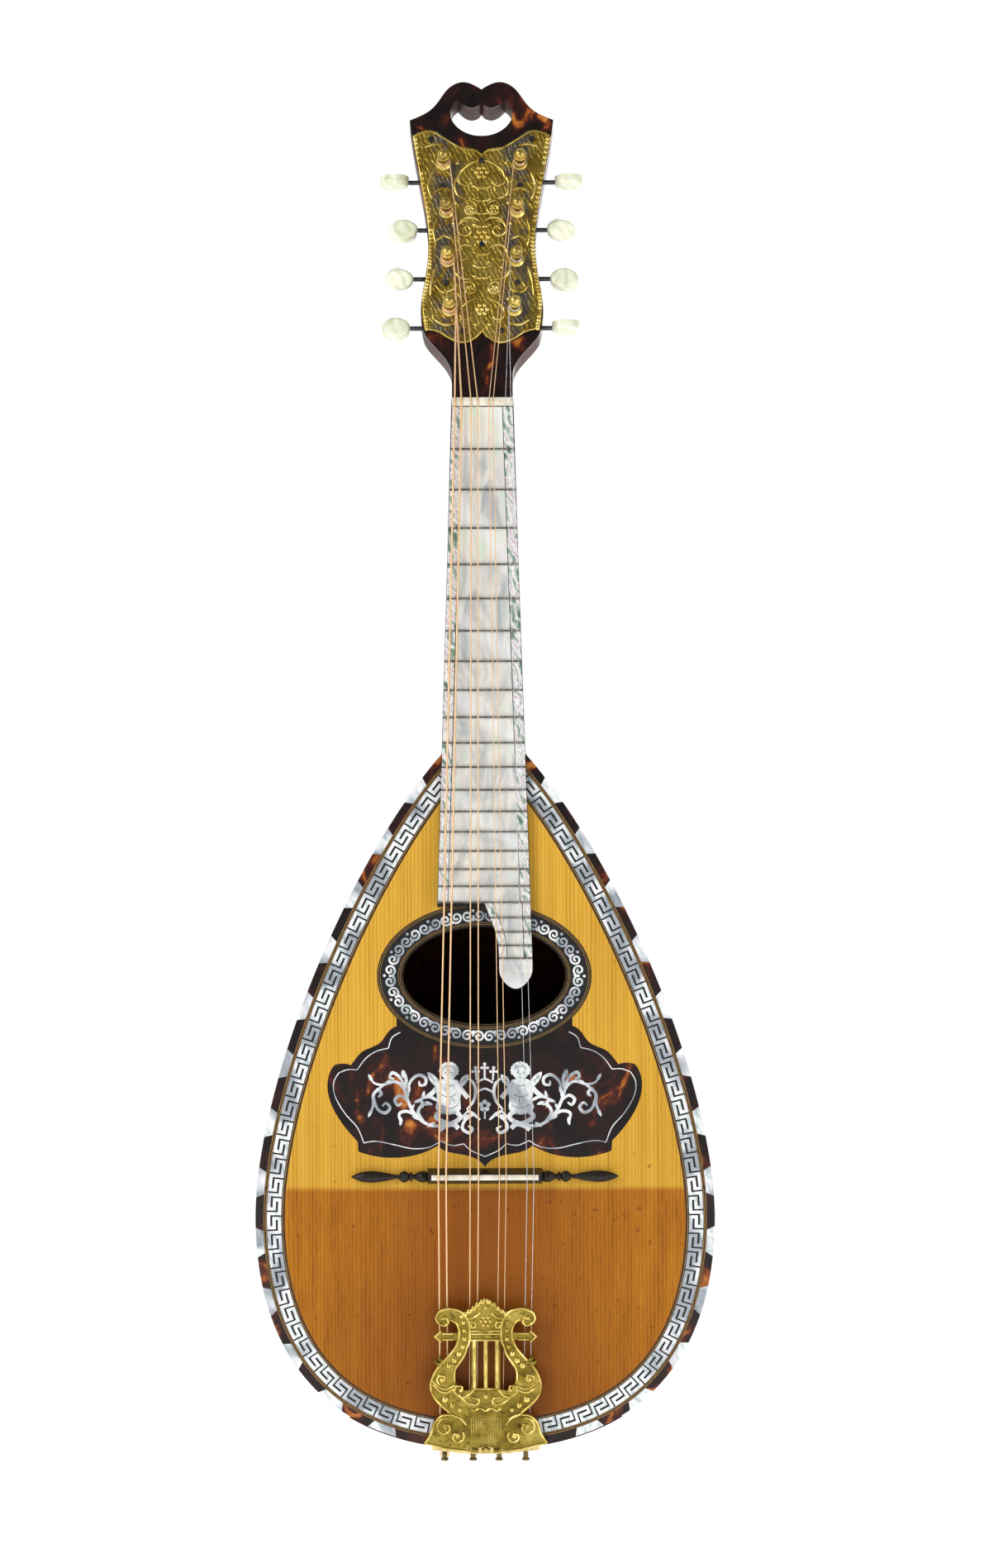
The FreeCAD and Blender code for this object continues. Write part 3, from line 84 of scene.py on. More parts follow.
# -------------------- materials
class Nodes:
    """A short way to write a node material: a method adds a node and returns the output used next."""

    def __init__(self, name):
        self.material = bpy.data.materials.new(name)
        self.material.use_nodes = True
        self.tree = self.material.node_tree
        self.shader = self.tree.nodes["Principled BSDF"]
        self.coordinates = self.add("TexCoord").outputs["Object"]

    def add(self, kind):
        return self.tree.nodes.new("ShaderNode" + kind)

    def link(self, value, socket):
        if isinstance(value, bpy.types.NodeSocket):
            self.tree.links.new(value, socket)
        else:
            socket.default_value = value

    def paint(self, colour, socket):
        self.link(colour if isinstance(colour, bpy.types.NodeSocket) else (*colour, 1.0), socket)

    def stretch(self, scale=(1.0, 1.0, 1.0), turn=(0.0, 0.0, 0.0)):
        node = self.add("Mapping")
        node.inputs["Scale"].default_value = scale
        node.inputs["Rotation"].default_value = turn
        self.link(self.coordinates, node.inputs["Vector"])
        return node.outputs["Vector"]

    def noise(self, scale, detail=4.0, distortion=0.0, up=1.0, across=1.0):
        """A noise, drawn out along z by a small up and along x by a small across."""
        node = self.add("TexNoise")
        self.link(self.stretch((across, 1.0, up)), node.inputs["Vector"])
        node.inputs["Scale"].default_value = scale
        node.inputs["Detail"].default_value = detail
        node.inputs["Distortion"].default_value = distortion
        return node.outputs["Fac"]

    def wave(self, vector, scale, distortion, direction="X", detail_scale=1.5):
        node = self.add("TexWave")
        self.link(vector, node.inputs["Vector"])
        node.bands_direction = direction
        node.inputs["Scale"].default_value = scale
        node.inputs["Distortion"].default_value = distortion
        node.inputs["Detail"].default_value = 3.0
        node.inputs["Detail Scale"].default_value = detail_scale
        return node.outputs["Fac"]

    def ramp(self, value, stops):
        """Colours at places from 0 to 1."""
        node = self.add("ValToRGB")
        band = node.color_ramp
        while len(band.elements) < len(stops):
            band.elements.new(0.5)
        for element, (place, colour) in zip(band.elements, stops):
            element.position = place
            element.color = (*colour, 1.0)
        self.link(value, node.inputs["Fac"])
        return node.outputs["Color"]

    def spread(self, value, low, high, to_low, to_high):
        node = self.add("MapRange")
        self.link(value, node.inputs["Value"])
        numbers = {"From Min": low, "From Max": high, "To Min": to_low, "To Max": to_high}
        for name, number in numbers.items():
            node.inputs[name].default_value = number
        return node.outputs["Result"]

    def vary(self, noise, low, high):
        """The middle part of a noise as a number from low to high."""
        return self.spread(noise, 0.3, 0.7, low, high)

    def mix(self, factor, first, second, how="MIX"):
        node = self.add("Mix")
        node.data_type = "RGBA"
        node.blend_type = how
        self.link(factor, node.inputs["Factor"])
        colours = [socket for socket in node.inputs if socket.type == "RGBA"]
        for socket, value in zip(colours, (first, second)):
            self.paint(value, socket)
        return [socket for socket in node.outputs if socket.type == "RGBA"][0]

    def math(self, how, first, second=0.0):
        node = self.add("Math")
        node.operation = how
        self.link(first, node.inputs[0])
        self.link(second, node.inputs[1])
        return node.outputs[0]

    def total(self, *parts):
        """The sum of (value, share) pairs."""
        terms = [self.math("MULTIPLY", value, share) for value, share in parts]
        result = terms[0]
        for term in terms[1:]:
            result = self.math("ADD", result, term)
        return result

    def place(self, axis):
        """The x, y or z of the point, in metres."""
        node = self.add("SeparateXYZ")
        self.link(self.coordinates, node.inputs[0])
        return node.outputs[axis]

    def island(self):
        """A number from 0 to 1 for each separate block of the mesh."""
        return self.add("NewGeometry").outputs["Random Per Island"]

    def edges(self):
        return self.add("NewGeometry").outputs["Pointiness"]

    def bump(self, height, strength, distance):
        node = self.add("Bump")
        node.inputs["Strength"].default_value = strength
        node.inputs["Distance"].default_value = distance
        self.link(height, node.inputs["Height"])
        self.link(node.outputs["Normal"], self.shader.inputs["Normal"])

    def finish(self, colour, roughness, metallic=0.0, coat=0.0, coat_roughness=0.1, shine=0.5):
        self.paint(colour, self.shader.inputs["Base Color"])
        self.link(roughness, self.shader.inputs["Roughness"])
        self.shader.inputs["Metallic"].default_value = metallic
        self.shader.inputs["Coat Weight"].default_value = coat
        self.shader.inputs["Coat Roughness"].default_value = coat_roughness
        self.shader.inputs["Specular IOR Level"].default_value = shine
        return self.material


def spruce():
    """Varnished spruce: fine upright grain, golden above the bend and darker orange-brown below it."""
    n = Nodes("spruce_varnished")
    rings = n.wave(n.stretch((1.0, 1.0, 0.008)), 190.0, 11.0, detail_scale=0.22)
    fine = n.noise(1500.0, 3.0, up=0.012)
    broad = n.noise(260.0, 2.0, up=0.02)
    cloud = n.noise(17.0, 3.0, up=0.45)
    dirt = n.noise(330.0, 3.0)
    grain = n.total((rings, 0.17), (fine, 0.40), (broad, 0.43))
    upper = n.ramp(grain, ((0.22, (0.36, 0.165, 0.016)), (0.42, (0.62, 0.335, 0.034)),
                           (0.70, (0.78, 0.450, 0.060))))
    lower = n.ramp(grain, ((0.22, (0.185, 0.052, 0.003)), (0.42, (0.385, 0.132, 0.007)),
                           (0.70, (0.520, 0.200, 0.013))))
    centre = n.spread(n.math("ABSOLUTE", n.place("X")), 0.012, 0.070, 0.75, 0.0)
    lower = n.mix(centre, lower, (0.235, 0.060, 0.005))
    height = n.place("Z")
    below = n.spread(height, 0.1125, 0.1148, 1.0, 0.0)
    colour = n.mix(below, upper, lower)
    tail = n.spread(height, 0.012, 0.078, 0.35, 0.0)
    colour = n.mix(tail, colour, (0.150, 0.036, 0.004))
    shade = n.ramp(cloud, ((0.32, (0.82, 0.78, 0.70)), (0.66, (1.0, 1.0, 1.0))))
    colour = n.mix(0.85, colour, shade, "MULTIPLY")
    marks = n.ramp(dirt, ((0.26, (0.45, 0.36, 0.25)), (0.34, (1.0, 1.0, 1.0))))
    colour = n.mix(0.7, colour, marks, "MULTIPLY")
    n.bump(grain, 0.10, 0.0003)
    return n.finish(colour, n.vary(cloud, 0.40, 0.54), coat=0.03, coat_roughness=0.22, shine=0.12)


def inner_spruce():
    n = Nodes("softwood_raw")
    grain = n.noise(700.0, 3.0, across=0.05)
    colour = n.ramp(grain, ((0.3, (0.42, 0.24, 0.10)), (0.7, (0.62, 0.42, 0.22))))
    n.bump(grain, 0.2, 0.0003)
    return n.finish(colour, 0.75)


def rosewood():
    """Dark red-brown rosewood with black streaks under a worn French polish; each rib has its own tone."""
    n = Nodes("rosewood_polished")
    streak = n.noise(480.0, 5.0, 0.3, up=0.03)
    vein = n.noise(130.0, 3.0, 0.8, up=0.06)
    cloud = n.noise(22.0, 3.0, up=0.3)
    value = n.total((streak, 0.62), (vein, 0.38))
    colour = n.ramp(value, ((0.36, (0.011, 0.004, 0.003)), (0.48, (0.060, 0.016, 0.008)),
                            (0.64, (0.150, 0.046, 0.018))))
    colour = n.mix(n.vary(cloud, 0.0, 0.5), colour, (0.042, 0.012, 0.007))
    tone = n.ramp(n.island(), ((0.0, (0.58, 0.54, 0.52)), (0.5, (0.86, 0.84, 0.82)),
                               (1.0, (1.12, 1.0, 0.94))))
    colour = n.mix(0.9, colour, tone, "MULTIPLY")
    n.bump(streak, 0.12, 0.0002)
    return n.finish(colour, n.vary(cloud, 0.42, 0.56), coat=0.04, coat_roughness=0.20, shine=0.25)


def tortoiseshell():
    """Almost black horn with red-brown clouds and orange windows."""
    n = Nodes("tortoiseshell_polished")
    cloud = n.noise(58.0, 3.0, 1.3, up=0.75)
    fleck = n.noise(420.0, 3.0)
    value = n.total((cloud, 0.9), (fleck, 0.1))
    colour = n.ramp(value, ((0.42, (0.006, 0.003, 0.003)), (0.54, (0.020, 0.005, 0.004)),
                            (0.60, (0.085, 0.014, 0.005)), (0.645, (0.36, 0.10, 0.014)),
                            (0.70, (0.55, 0.22, 0.04))))
    return n.finish(colour, n.vary(fleck, 0.20, 0.30), coat=0.12, coat_roughness=0.08, shine=0.22)


def nacre(name, stops, scale, roughness, patches=0.0):
    """Mother-of-pearl: clouds of colour, fine growth lines, and pieces of lighter and darker shell."""
    n = Nodes(name)
    cloud = n.noise(scale, 3.0, 1.2, up=0.55)
    lines = n.wave(n.stretch(turn=(0.4, 0.2, 0.7)), scale * 0.7, 7.0)
    value = n.total((cloud, 0.8), (lines, 0.2))
    colour = n.ramp(value, stops)
    if patches:
        piece = n.noise(75.0, 0.0)
        tone = n.ramp(piece, ((0.40, (0.34, 0.37, 0.42)), (0.50, (0.78, 0.80, 0.84)),
                              (0.56, (1.0, 1.0, 1.0))))
        colour = n.mix(patches, colour, tone, "MULTIPLY")
    n.bump(lines, 0.05, 0.0002)
    return n.finish(colour, n.vary(cloud, roughness, roughness + 0.14), coat=0.4, coat_roughness=0.08)


def pearl():
    return nacre("mother_of_pearl", ((0.28, (0.46, 0.52, 0.55)), (0.45, (0.74, 0.80, 0.78)),
                                     (0.58, (0.84, 0.80, 0.84)), (0.72, (0.90, 0.94, 0.90))),
                 150.0, 0.20, 0.9)


def fingerboard_pearl():
    """Pale cream and silver shell: every block between two frets has its own tone, and pale streaks across it
    are painted sheen.
    """
    n = Nodes("fingerboard_pearl")
    cloud = n.noise(80.0, 3.0, 1.4, up=0.5, across=1.6)
    sheen = n.wave(n.stretch(turn=(0.3, 0.8, 0.2)), 9.0, 5.0)
    colour = n.ramp(cloud, ((0.30, (0.46, 0.49, 0.50)), (0.45, (0.64, 0.65, 0.62)),
                            (0.56, (0.78, 0.75, 0.70)), (0.70, (0.66, 0.78, 0.66))))
    tone = n.ramp(n.island(), ((0.0, (0.84, 0.86, 0.88)), (0.5, (0.98, 0.96, 0.96)), (1.0, (1.0, 1.0, 0.94))))
    colour = n.mix(0.9, colour, tone, "MULTIPLY")
    # painted sheen: pale grey streaks mixed into the colour along the wave's bands
    colour = n.mix(n.spread(sheen, 0.80, 1.0, 0.0, 0.45), colour, (0.86, 0.88, 0.90))
    n.bump(sheen, 0.04, 0.0002)
    return n.finish(colour, n.vary(cloud, 0.20, 0.34), coat=0.4, coat_roughness=0.08)


def button_pearl():
    return nacre("button_pearl", ((0.28, (0.62, 0.66, 0.44)), (0.50, (0.80, 0.82, 0.62)),
                                  (0.72, (0.92, 0.92, 0.78))), 110.0, 0.16)


def abalone():
    return nacre("abalone_edging", ((0.26, (0.07, 0.12, 0.10)), (0.38, (0.26, 0.38, 0.30)),
                                    (0.47, (0.62, 0.62, 0.60)), (0.54, (0.90, 0.92, 0.90)),
                                    (0.60, (0.62, 0.46, 0.52)), (0.74, (0.70, 0.90, 0.76))), 150.0, 0.18)


RUBBED_GOLD = (0.96, 0.80, 0.34)


def brass(name, tones, relief=0.0, rubbed=0.0):
    """Old gilt brass: brown patina, fine stippling, a pressed relief and rubbed edges.

    Rubbing follows the edges of the mesh, so flat plates with few points take none.
    """
    n = Nodes(name)
    patina = n.noise(95.0, 5.0, 0.4)
    stipple = n.noise(1900.0, 2.0)
    colour = n.ramp(patina, tuple(zip((0.30, 0.50, 0.70), tones)))
    speckle = n.noise(520.0)
    spots = n.ramp(speckle, ((0.34, (0.45, 0.42, 0.36)), (0.48, (1.0, 1.0, 1.0))))
    colour = n.mix(0.8, colour, spots, "MULTIPLY")
    colour = n.mix(n.spread(n.edges(), 0.50, 0.58, 0.0, rubbed), colour, RUBBED_GOLD)
    pressed = n.noise(330.0, 1.0, 0.6)
    n.bump(n.total((stipple, 0.2), (pressed, relief)), 0.6, 0.0004)
    return n.finish(colour, n.vary(patina, 0.40, 0.26), metallic=1.0)


def gilt_brass():
    tones = ((0.22, 0.135, 0.020), (0.48, 0.330, 0.056), (0.68, 0.51, 0.13))
    return brass("gilt_brass_worn", tones, rubbed=0.6)


def cover_brass():
    """The ground of the tailpiece cover, browner than the relief on it."""
    tones = ((0.115, 0.075, 0.012), (0.270, 0.195, 0.032), (0.42, 0.32, 0.068))
    return brass("cover_brass_browned", tones, relief=2.2)


def plate_brass():
    """The head's plate: gilt brass with grey tarnish round the machines and fine engraving between."""
    n = Nodes("plate_brass_tarnished")
    patina = n.noise(120.0, 5.0, 0.4)
    tarnish = n.noise(150.0, 4.0, 0.8, up=0.6)
    lines = n.wave(n.stretch(turn=(0.0, 0.5, 0.0)), 160.0, 6.0)
    colour = n.ramp(patina, ((0.30, (0.20, 0.125, 0.018)), (0.50, (0.40, 0.275, 0.045)),
                             (0.70, (0.60, 0.44, 0.10))))
    across = n.math("ABSOLUTE", n.place("X"))
    outer = n.spread(across, 0.0195, 0.0230, 1.0, 0.0)
    column = n.math("MULTIPLY", n.spread(across, 0.0070, 0.0110, 0.0, 1.0), outer)
    stain = n.math("MULTIPLY", n.spread(tarnish, 0.42, 0.54, 0.0, 0.80), column)
    colour = n.mix(stain, colour, (0.120, 0.118, 0.122))
    pressed = n.noise(260.0, 1.0, 0.8, up=1.6)
    n.bump(n.total((lines, 0.25), (pressed, 1.0)), 0.6, 0.0007)
    return n.finish(colour, n.vary(patina, 0.42, 0.28), metallic=1.0)


def bright_gilt():
    """The raised relief: a lighter gold than the ground, partly rubbed bright by wear and partly a painted
    highlight on the raised lines.
    """
    n = Nodes("gilt_relief_bright")
    patina = n.noise(160.0)
    # the light gold is partly real rubbed wear and partly painted highlight on the raised relief
    colour = n.ramp(patina, ((0.35, (0.40, 0.275, 0.050)), (0.52, (0.72, 0.54, 0.145)),
                             (0.68, (0.94, 0.78, 0.32))))
    n.bump(patina, 0.1, 0.0002)
    return n.finish(colour, n.vary(patina, 0.30, 0.16), metallic=1.0)


def metal(name, dark, light, roughness):
    """Steel or brass with two tones of the same colour."""
    n = Nodes(name)
    mottle = n.noise(500.0)
    n.bump(mottle, 0.08, 0.0001)
    return n.finish(n.ramp(mottle, ((0.3, dark), (0.7, light))),
                    n.vary(mottle, roughness, roughness + 0.15), metallic=1.0)


def wound_string():
    """Copper wire wound on a core: fine turns across the string's length, with painted shade in the grooves
    and painted highlight on the crests.
    """
    n = Nodes("string_wound_copper")
    turns = n.wave(n.stretch((0.0, 0.0, 1.0)), 900.0, 0.0, "Z")
    # painted shade and highlight: darker colour in the grooves between turns, lighter on their crests
    colour = n.ramp(turns, ((0.1, (0.62, 0.33, 0.14)), (0.6, (1.0, 0.74, 0.46))))
    n.bump(turns, 0.5, 0.0001)
    return n.finish(colour, n.spread(turns, 0.0, 1.0, 0.42, 0.26), metallic=1.0)


def plain(name, dark, light, roughness, scale, coat=0.0, up=1.0, shine=0.3):
    """A wood, bone or mastic surface with two tones of the same colour."""
    n = Nodes(name)
    tone = n.noise(scale, up=up)
    n.bump(tone, 0.1, 0.0002)
    return n.finish(n.ramp(tone, ((0.3, dark), (0.7, light))),
                    n.vary(tone, roughness, roughness + 0.12), coat=coat, shine=shine)


# The slot of the record that stands for a look made here, and the pieces whose look is not their slot's.
MATERIALS = {
    "spruce": spruce(),
    "inner_softwood": inner_spruce(),
    "rosewood": rosewood(),
    "tortoiseshell": tortoiseshell(),
    "pearl": pearl(),
    "button_pearl": button_pearl(),
    "abalone": abalone(),
    "fingerboard_pearl": fingerboard_pearl(),
    "gilt_brass": gilt_brass(),
    "plate_brass": plate_brass(),
    "cover_brass": cover_brass(),
    "bright_gilt": bright_gilt(),
    "dark_brass": metal("dark_brass", (0.10, 0.075, 0.035), (0.30, 0.23, 0.10), 0.35),
    "steel": metal("blued_steel", (0.03, 0.03, 0.032), (0.12, 0.12, 0.125), 0.30),
    "fret_metal": metal("fret_metal", (0.10, 0.09, 0.075), (0.30, 0.27, 0.22), 0.35),
    "steel_string": metal("string_plain_steel", (0.50, 0.50, 0.52), (0.80, 0.80, 0.82), 0.22),
    "wound_string": wound_string(),
    "ebony": plain("ebony_oiled", (0.007, 0.005, 0.004), (0.024, 0.017, 0.012), 0.32, 900.0, 0.06, 0.05,
                   0.22),
    "black_mastic": plain("black_mastic", (0.007, 0.007, 0.008), (0.022, 0.020, 0.021), 0.32, 700.0, 0.06,
                          shine=0.22),
    "purfling": plain("purfling_wood", (0.030, 0.012, 0.005), (0.10, 0.043, 0.013), 0.40, 1300.0, 0.05,
                      0.2),
    "line_wood": plain("purfling_light_wood", (0.36, 0.20, 0.045), (0.62, 0.40, 0.12), 0.42, 1300.0, 0.1,
                       0.2),
    "bone": plain("bone_polished", (0.66, 0.60, 0.46), (0.84, 0.80, 0.68), 0.30, 260.0, 0.2),
}

SLOT_OF_NODE = {entry["node"]: entry["material_slot"] for entry in frame["record"]["subparts"]}
OWN_FINISH = {"fingerboard_pearl": "fingerboard_pearl", "tuner_plate": "plate_brass",
              "tailpiece_cover": "cover_brass", "a_strings": "wound_string", "rosette_lines": "ebony"}
for node_name, node in frame["nodes"].items():
    finish = OWN_FINISH.get(node_name, SLOT_OF_NODE[node_name])
    node.data.materials.clear()
    node.data.materials.append(MATERIALS[finish])
    node.data.polygons.foreach_set("material_index", [0] * len(node.data.polygons))


# -------------------- mesh helpers
def add_piece(name, data, material, body):
    """A new object with one material, riding on a body."""
    piece = bpy.data.objects.new(name, data)
    bpy.context.scene.collection.objects.link(piece)
    data.materials.append(MATERIALS[material])
    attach(piece, body)
    return piece


def add_mesh(name, vertices, faces, material, body=ROOT, smooth=False):
    mesh = bpy.data.meshes.new(name)
    mesh.from_pydata([tuple(v) for v in vertices], [], faces)
    mesh.update()
    if smooth:
        mesh.polygons.foreach_set("use_smooth", [True] * len(mesh.polygons))
    return add_piece(name, mesh, material, body)


def add_tubes(name, paths, radius, material, body=ROOT, taper=False):
    """Round rods along paths of points in metres."""
    curve = bpy.data.curves.new(name, "CURVE")
    curve.dimensions = "3D"
    curve.bevel_depth = radius * MM
    curve.bevel_resolution = 2
    curve.resolution_u = 3
    for path in paths:
        spline = curve.splines.new("POLY")
        spline.points.add(len(path) - 1)
        for index, (point, here) in enumerate(zip(spline.points, path)):
            point.co = (*here, 1.0)
            if taper:
                share = index / (len(path) - 1)
                point.radius = 0.25 + 0.95 * math.sin(math.pi * (0.12 + 0.80 * share))
    return add_piece(name, curve, material, body)


def add_beads(name, beads, place, body=ROOT):
    """Low gilt domes on a face: each bead is (x, z, lift, radius) in millimetres."""
    vertices, faces = [], []
    rings, sides = 4, 12
    dome = 0.75
    normal = (place(0, 0, 1) - place(0, 0, 0)).normalized()
    across = normal.orthogonal().normalized()
    other = normal.cross(across)
    for x, z, lift, radius in beads:
        centre = place(x, z, lift)
        base = len(vertices)
        for ring in range(rings):
            angle = ring / rings * math.pi / 2
            for side in range(sides):
                turn = 2 * math.pi * side / sides
                flat = (across * math.cos(turn) + other * math.sin(turn)) * (radius * math.cos(angle))
                vertices.append(centre + (flat + normal * (radius * dome * math.sin(angle))) * MM)
        vertices.append(centre + normal * (radius * dome * MM))
        for ring in range(rings - 1):
            for side in range(sides):
                a = base + ring * sides + side
                b = base + ring * sides + (side + 1) % sides
                faces.append((a, b, b + sides, a + sides))
        top = base + rings * sides
        for side in range(sides):
            faces.append((top - sides + side, top - sides + (side + 1) % sides, top))
    add_mesh(name, vertices, faces, "bright_gilt", body, smooth=True)


def in_pairs(beads):
    """Each bead, and the same bead on the other side."""
    return [(sign * x, z, lift, radius) for x, z, lift, radius in beads for sign in (1, -1)]


def petals(x, z, reach, lift, radius):
    """A ring of six beads."""
    turns = [index * math.pi / 3 for index in range(6)]
    return [(x + reach * math.cos(turn), z + reach * math.sin(turn), lift, radius) for turn in turns]


LAYER = 0.0006
SHARPEST_MITRE = 0.6


class Inlay:
    """Flat drawings let into a face: place turns (x, z) in millimetres into a point in the face.

    Each shape lies a hair above the one before, so that shapes that cross never share a plane.
    """

    def __init__(self, place, lift=0.035):
        self.place = place
        self.lift = lift
        self.vertices = []
        self.faces = []

    def polygon(self, points):
        base = len(self.vertices)
        self.vertices += [self.place(x, z, self.lift) for x, z in points]
        self.faces.append(tuple(range(base, base + len(points))))
        self.lift += LAYER

    def ribbon(self, points, width, taper=False):
        """A strip of constant or tapering width along a line, with mitred corners."""
        base = len(self.vertices)
        count = len(points)
        for index in range(count):
            here = Vector(points[index])
            before = (here - Vector(points[index - 1])).normalized() if index else None
            after = (Vector(points[index + 1]) - here).normalized() if index < count - 1 else None
            run = ((before or after) + (after or before)).normalized()
            square = max(run.dot(before or after), SHARPEST_MITRE)
            share = index / (count - 1)
            swell = 0.3 + 0.9 * math.sin(math.pi * (0.15 + 0.75 * share)) if taper else 1.0
            half = width / 2 * swell / square
            for side in (1, -1):
                self.vertices.append(self.place(here.x - run.y * half * side, here.y + run.x * half * side,
                                                self.lift))
        for index in range(count - 1):
            a = base + 2 * index
            self.faces.append((a, a + 1, a + 3, a + 2))
        self.lift += LAYER

    def disc(self, x, z, radius, wide=1.0):
        turns = [i * math.pi / 8 for i in range(16)]
        self.polygon([(x + wide * radius * math.cos(turn), z + radius * math.sin(turn)) for turn in turns])

    def finish(self, name, material):
        """The shapes as one mesh, with every face turned to the front."""
        piece = add_mesh(name, self.vertices, self.faces, material)
        for face in piece.data.polygons:
            if face.normal.y > 0:
                face.flip()


def cant_depth(z):
    return max(0.0, CANT_HEIGHT - z) * CANT_SLOPE


def on_board(x, z, lift):
    """A point on the soundboard's face, which bends back below the bridge."""
    return Vector((x, cant_depth(z) - lift, z)) * MM


def on_head(x, v, lift):
    """A point in front of the head's machine plate or face."""
    return Vector((x, -lift * math.cos(HEAD_TILT) + v * math.sin(HEAD_TILT),
                   HEAD_TOP + lift * math.sin(HEAD_TILT) + v * math.cos(HEAD_TILT))) * MM


def on_cover(x, z, lift):
    """A point in front of the tailpiece cover's face."""
    y, up = -COVER_HALF_THICKNESS - lift, z - HINGE[1]
    return Vector((x, HINGE[0] + y * math.cos(COVER_TILT) - up * math.sin(COVER_TILT),
                   HINGE[1] + y * math.sin(COVER_TILT) + up * math.cos(COVER_TILT))) * MM


def curve_through(points, steps=8):
    """A smooth line through points, as a Catmull-Rom chain."""
    line = []
    for index in range(len(points) - 1):
        p0 = Vector(points[max(index - 1, 0)])
        p1, p2 = Vector(points[index]), Vector(points[index + 1])
        p3 = Vector(points[min(index + 2, len(points) - 1)])
        for step in range(steps):
            t = step / steps
            here = 0.5 * (2 * p1 + (p2 - p0) * t + (2 * p0 - 5 * p1 + 4 * p2 - p3) * t * t
                          + (3 * p1 - p0 - 3 * p2 + p3) * t ** 3)
            line.append((here.x, here.y))
    line.append(tuple(points[-1]))
    return line


def smooth(lines):
    return [curve_through(points) for points in lines]


def spiral(x, z, radius, turns, start, hand=1, inner=0.15, steps=22):
    """A scroll that winds in from its radius: start is the angle of its outer end."""
    line = []
    for step in range(steps + 1):
        share = step / steps
        angle = start + hand * share * turns * 2 * math.pi
        reach = radius * (1 - share * (1 - inner))
        line.append((x + reach * math.cos(angle), z + reach * math.sin(angle)))
    return line


def mirror(line):
    return [(-x, z) for x, z in line]


def both(lines):
    return list(lines) + [mirror(line) for line in lines]


def laid(lines, place, lift):
    """Lines of (x, z) in millimetres as lines of points on a face."""
    return [[place(x, z, lift) for x, z in line] for line in lines]


# -------------------- the border's meander
def outline(u):
    """Right half of the body's outline: u 0 is the tail, 1 the widest place, 2 the neck joint."""
    tail, below, above, neck = 75.8, 51.09, 58.41, 60.67    # lengths of the curve's handles
    slope = math.radians(41.5)
    lower = ((0.0, 0.0), (tail, 0.0), (HALF_WIDTH, WIDEST - below), (HALF_WIDTH, WIDEST))
    upper = ((HALF_WIDTH, WIDEST), (HALF_WIDTH, WIDEST + above),
             (SHOULDER + neck * math.sin(slope), LENGTH - neck * math.cos(slope)), (SHOULDER, LENGTH))
    a, b, c, d = [Vector(point) for point in (lower if u <= 1 else upper)]
    t = u if u <= 1 else u - 1
    return a * (1 - t) ** 3 + b * (3 * t * (1 - t) ** 2) + c * (3 * t * t * (1 - t)) + d * t ** 3


def run_lengths(line):
    """How far along a line each of its points lies."""
    run = [0.0]
    for first, second in zip(line, line[1:]):
        run.append(run[-1] + math.dist(first, second))
    return run


STEPS = 1200
EDGE = [outline(2.0 * i / STEPS) for i in range(STEPS + 1)]
RUN = run_lengths(EDGE)
EDGE_LENGTH = RUN[-1]


def edge_point(down, inset):
    """A point on the right side: a distance down the edge from the neck joint, and an inset."""
    along = min(max(EDGE_LENGTH - down, 0.0), EDGE_LENGTH - 1e-6)
    high = bisect.bisect_right(RUN, along)
    low = high - 1
    share = (along - RUN[low]) / (RUN[high] - RUN[low])
    run = (EDGE[high] - EDGE[low]).normalized()
    place = EDGE[low].lerp(EDGE[high], share) + Vector((-run.y, run.x)) * inset
    return place.x, place.y


def in_short_steps(line, reach):
    """The same line with points added, so that no step is longer than the reach."""
    points = [line[0]]
    for first, second in zip(line, line[1:]):
        count = math.ceil(math.dist(first, second) / reach)
        points += [tuple(Vector(first).lerp(Vector(second), step / count)) for step in range(1, count + 1)]
    return points


def on_edge(side):
    """The board's face measured along its edge: distance from the neck joint, and inset from the border."""
    def place(down, inset, lift):
        x, z = edge_point(down, MEANDER_START + inset)
        return on_board(side * x, z, lift)
    return place


def make_meander():
    """A Greek key in pearl on each side: one line that steps in, back and in again in every period."""
    outer, middle, inner = 0.65, 3.0, 5.35
    top, bottom = 0.25 * MEANDER_PERIOD, 0.75 * MEANDER_PERIOD
    steps = ((0.0, inner), (0.0, outer), (bottom, outer), (bottom, middle), (top, middle), (top, inner))
    first, line_width = 0.8, 1.42
    count = int(EDGE_LENGTH / MEANDER_PERIOD)
    scale = EDGE_LENGTH / (count * MEANDER_PERIOD)
    path = []
    for unit in range(count):
        path += [((unit * MEANDER_PERIOD + along) * scale + first, inset) for along, inset in steps]
    for side, label in ((1, "right"), (-1, "left")):
        key = Inlay(on_edge(side), 0.03)
        key.ribbon(in_short_steps(path, 1.0), line_width)
        key.finish("meander_key_" + label, "pearl")


def make_purfling_lines():
    """Thin light and dark lines beside the meander."""
    for name, insets, width, material in (("purfling_light", (3.7, 4.5, 11.6), 0.15, "line_wood"),
                                          ("purfling_dark", (4.1, 11.25, 12.3), 0.26, "ebony")):
        lines = Inlay(on_board, 0.025)
        for inset in insets:
            for side in (1, -1):
                stops = [edge_point(EDGE_LENGTH * i / 160, inset) for i in range(161)]
                lines.ribbon([(side * x, z) for x, z in stops], width)
        lines.finish(name, material)


# -------------------- bowl
def on_bowl(u, share):
    """A point on the ribs: u as in the outline, share 0 to 1 from the right edge round to the left."""
    edge = outline(u)
    deep = BOWL_RATIO * edge.x
    rim = math.asin(min(0.98, cant_depth(edge.y) / deep))
    angle = rim + share * (math.pi - 2 * rim)
    depth = BOARD_THICKNESS + RIM_JOINT + deep * math.sin(angle)
    deepest = cad_box[1][1] / MM - SEAM_RADIUS - 0.02
    return Vector((edge.x * math.cos(angle), min(depth, deepest), edge.y)) * MM


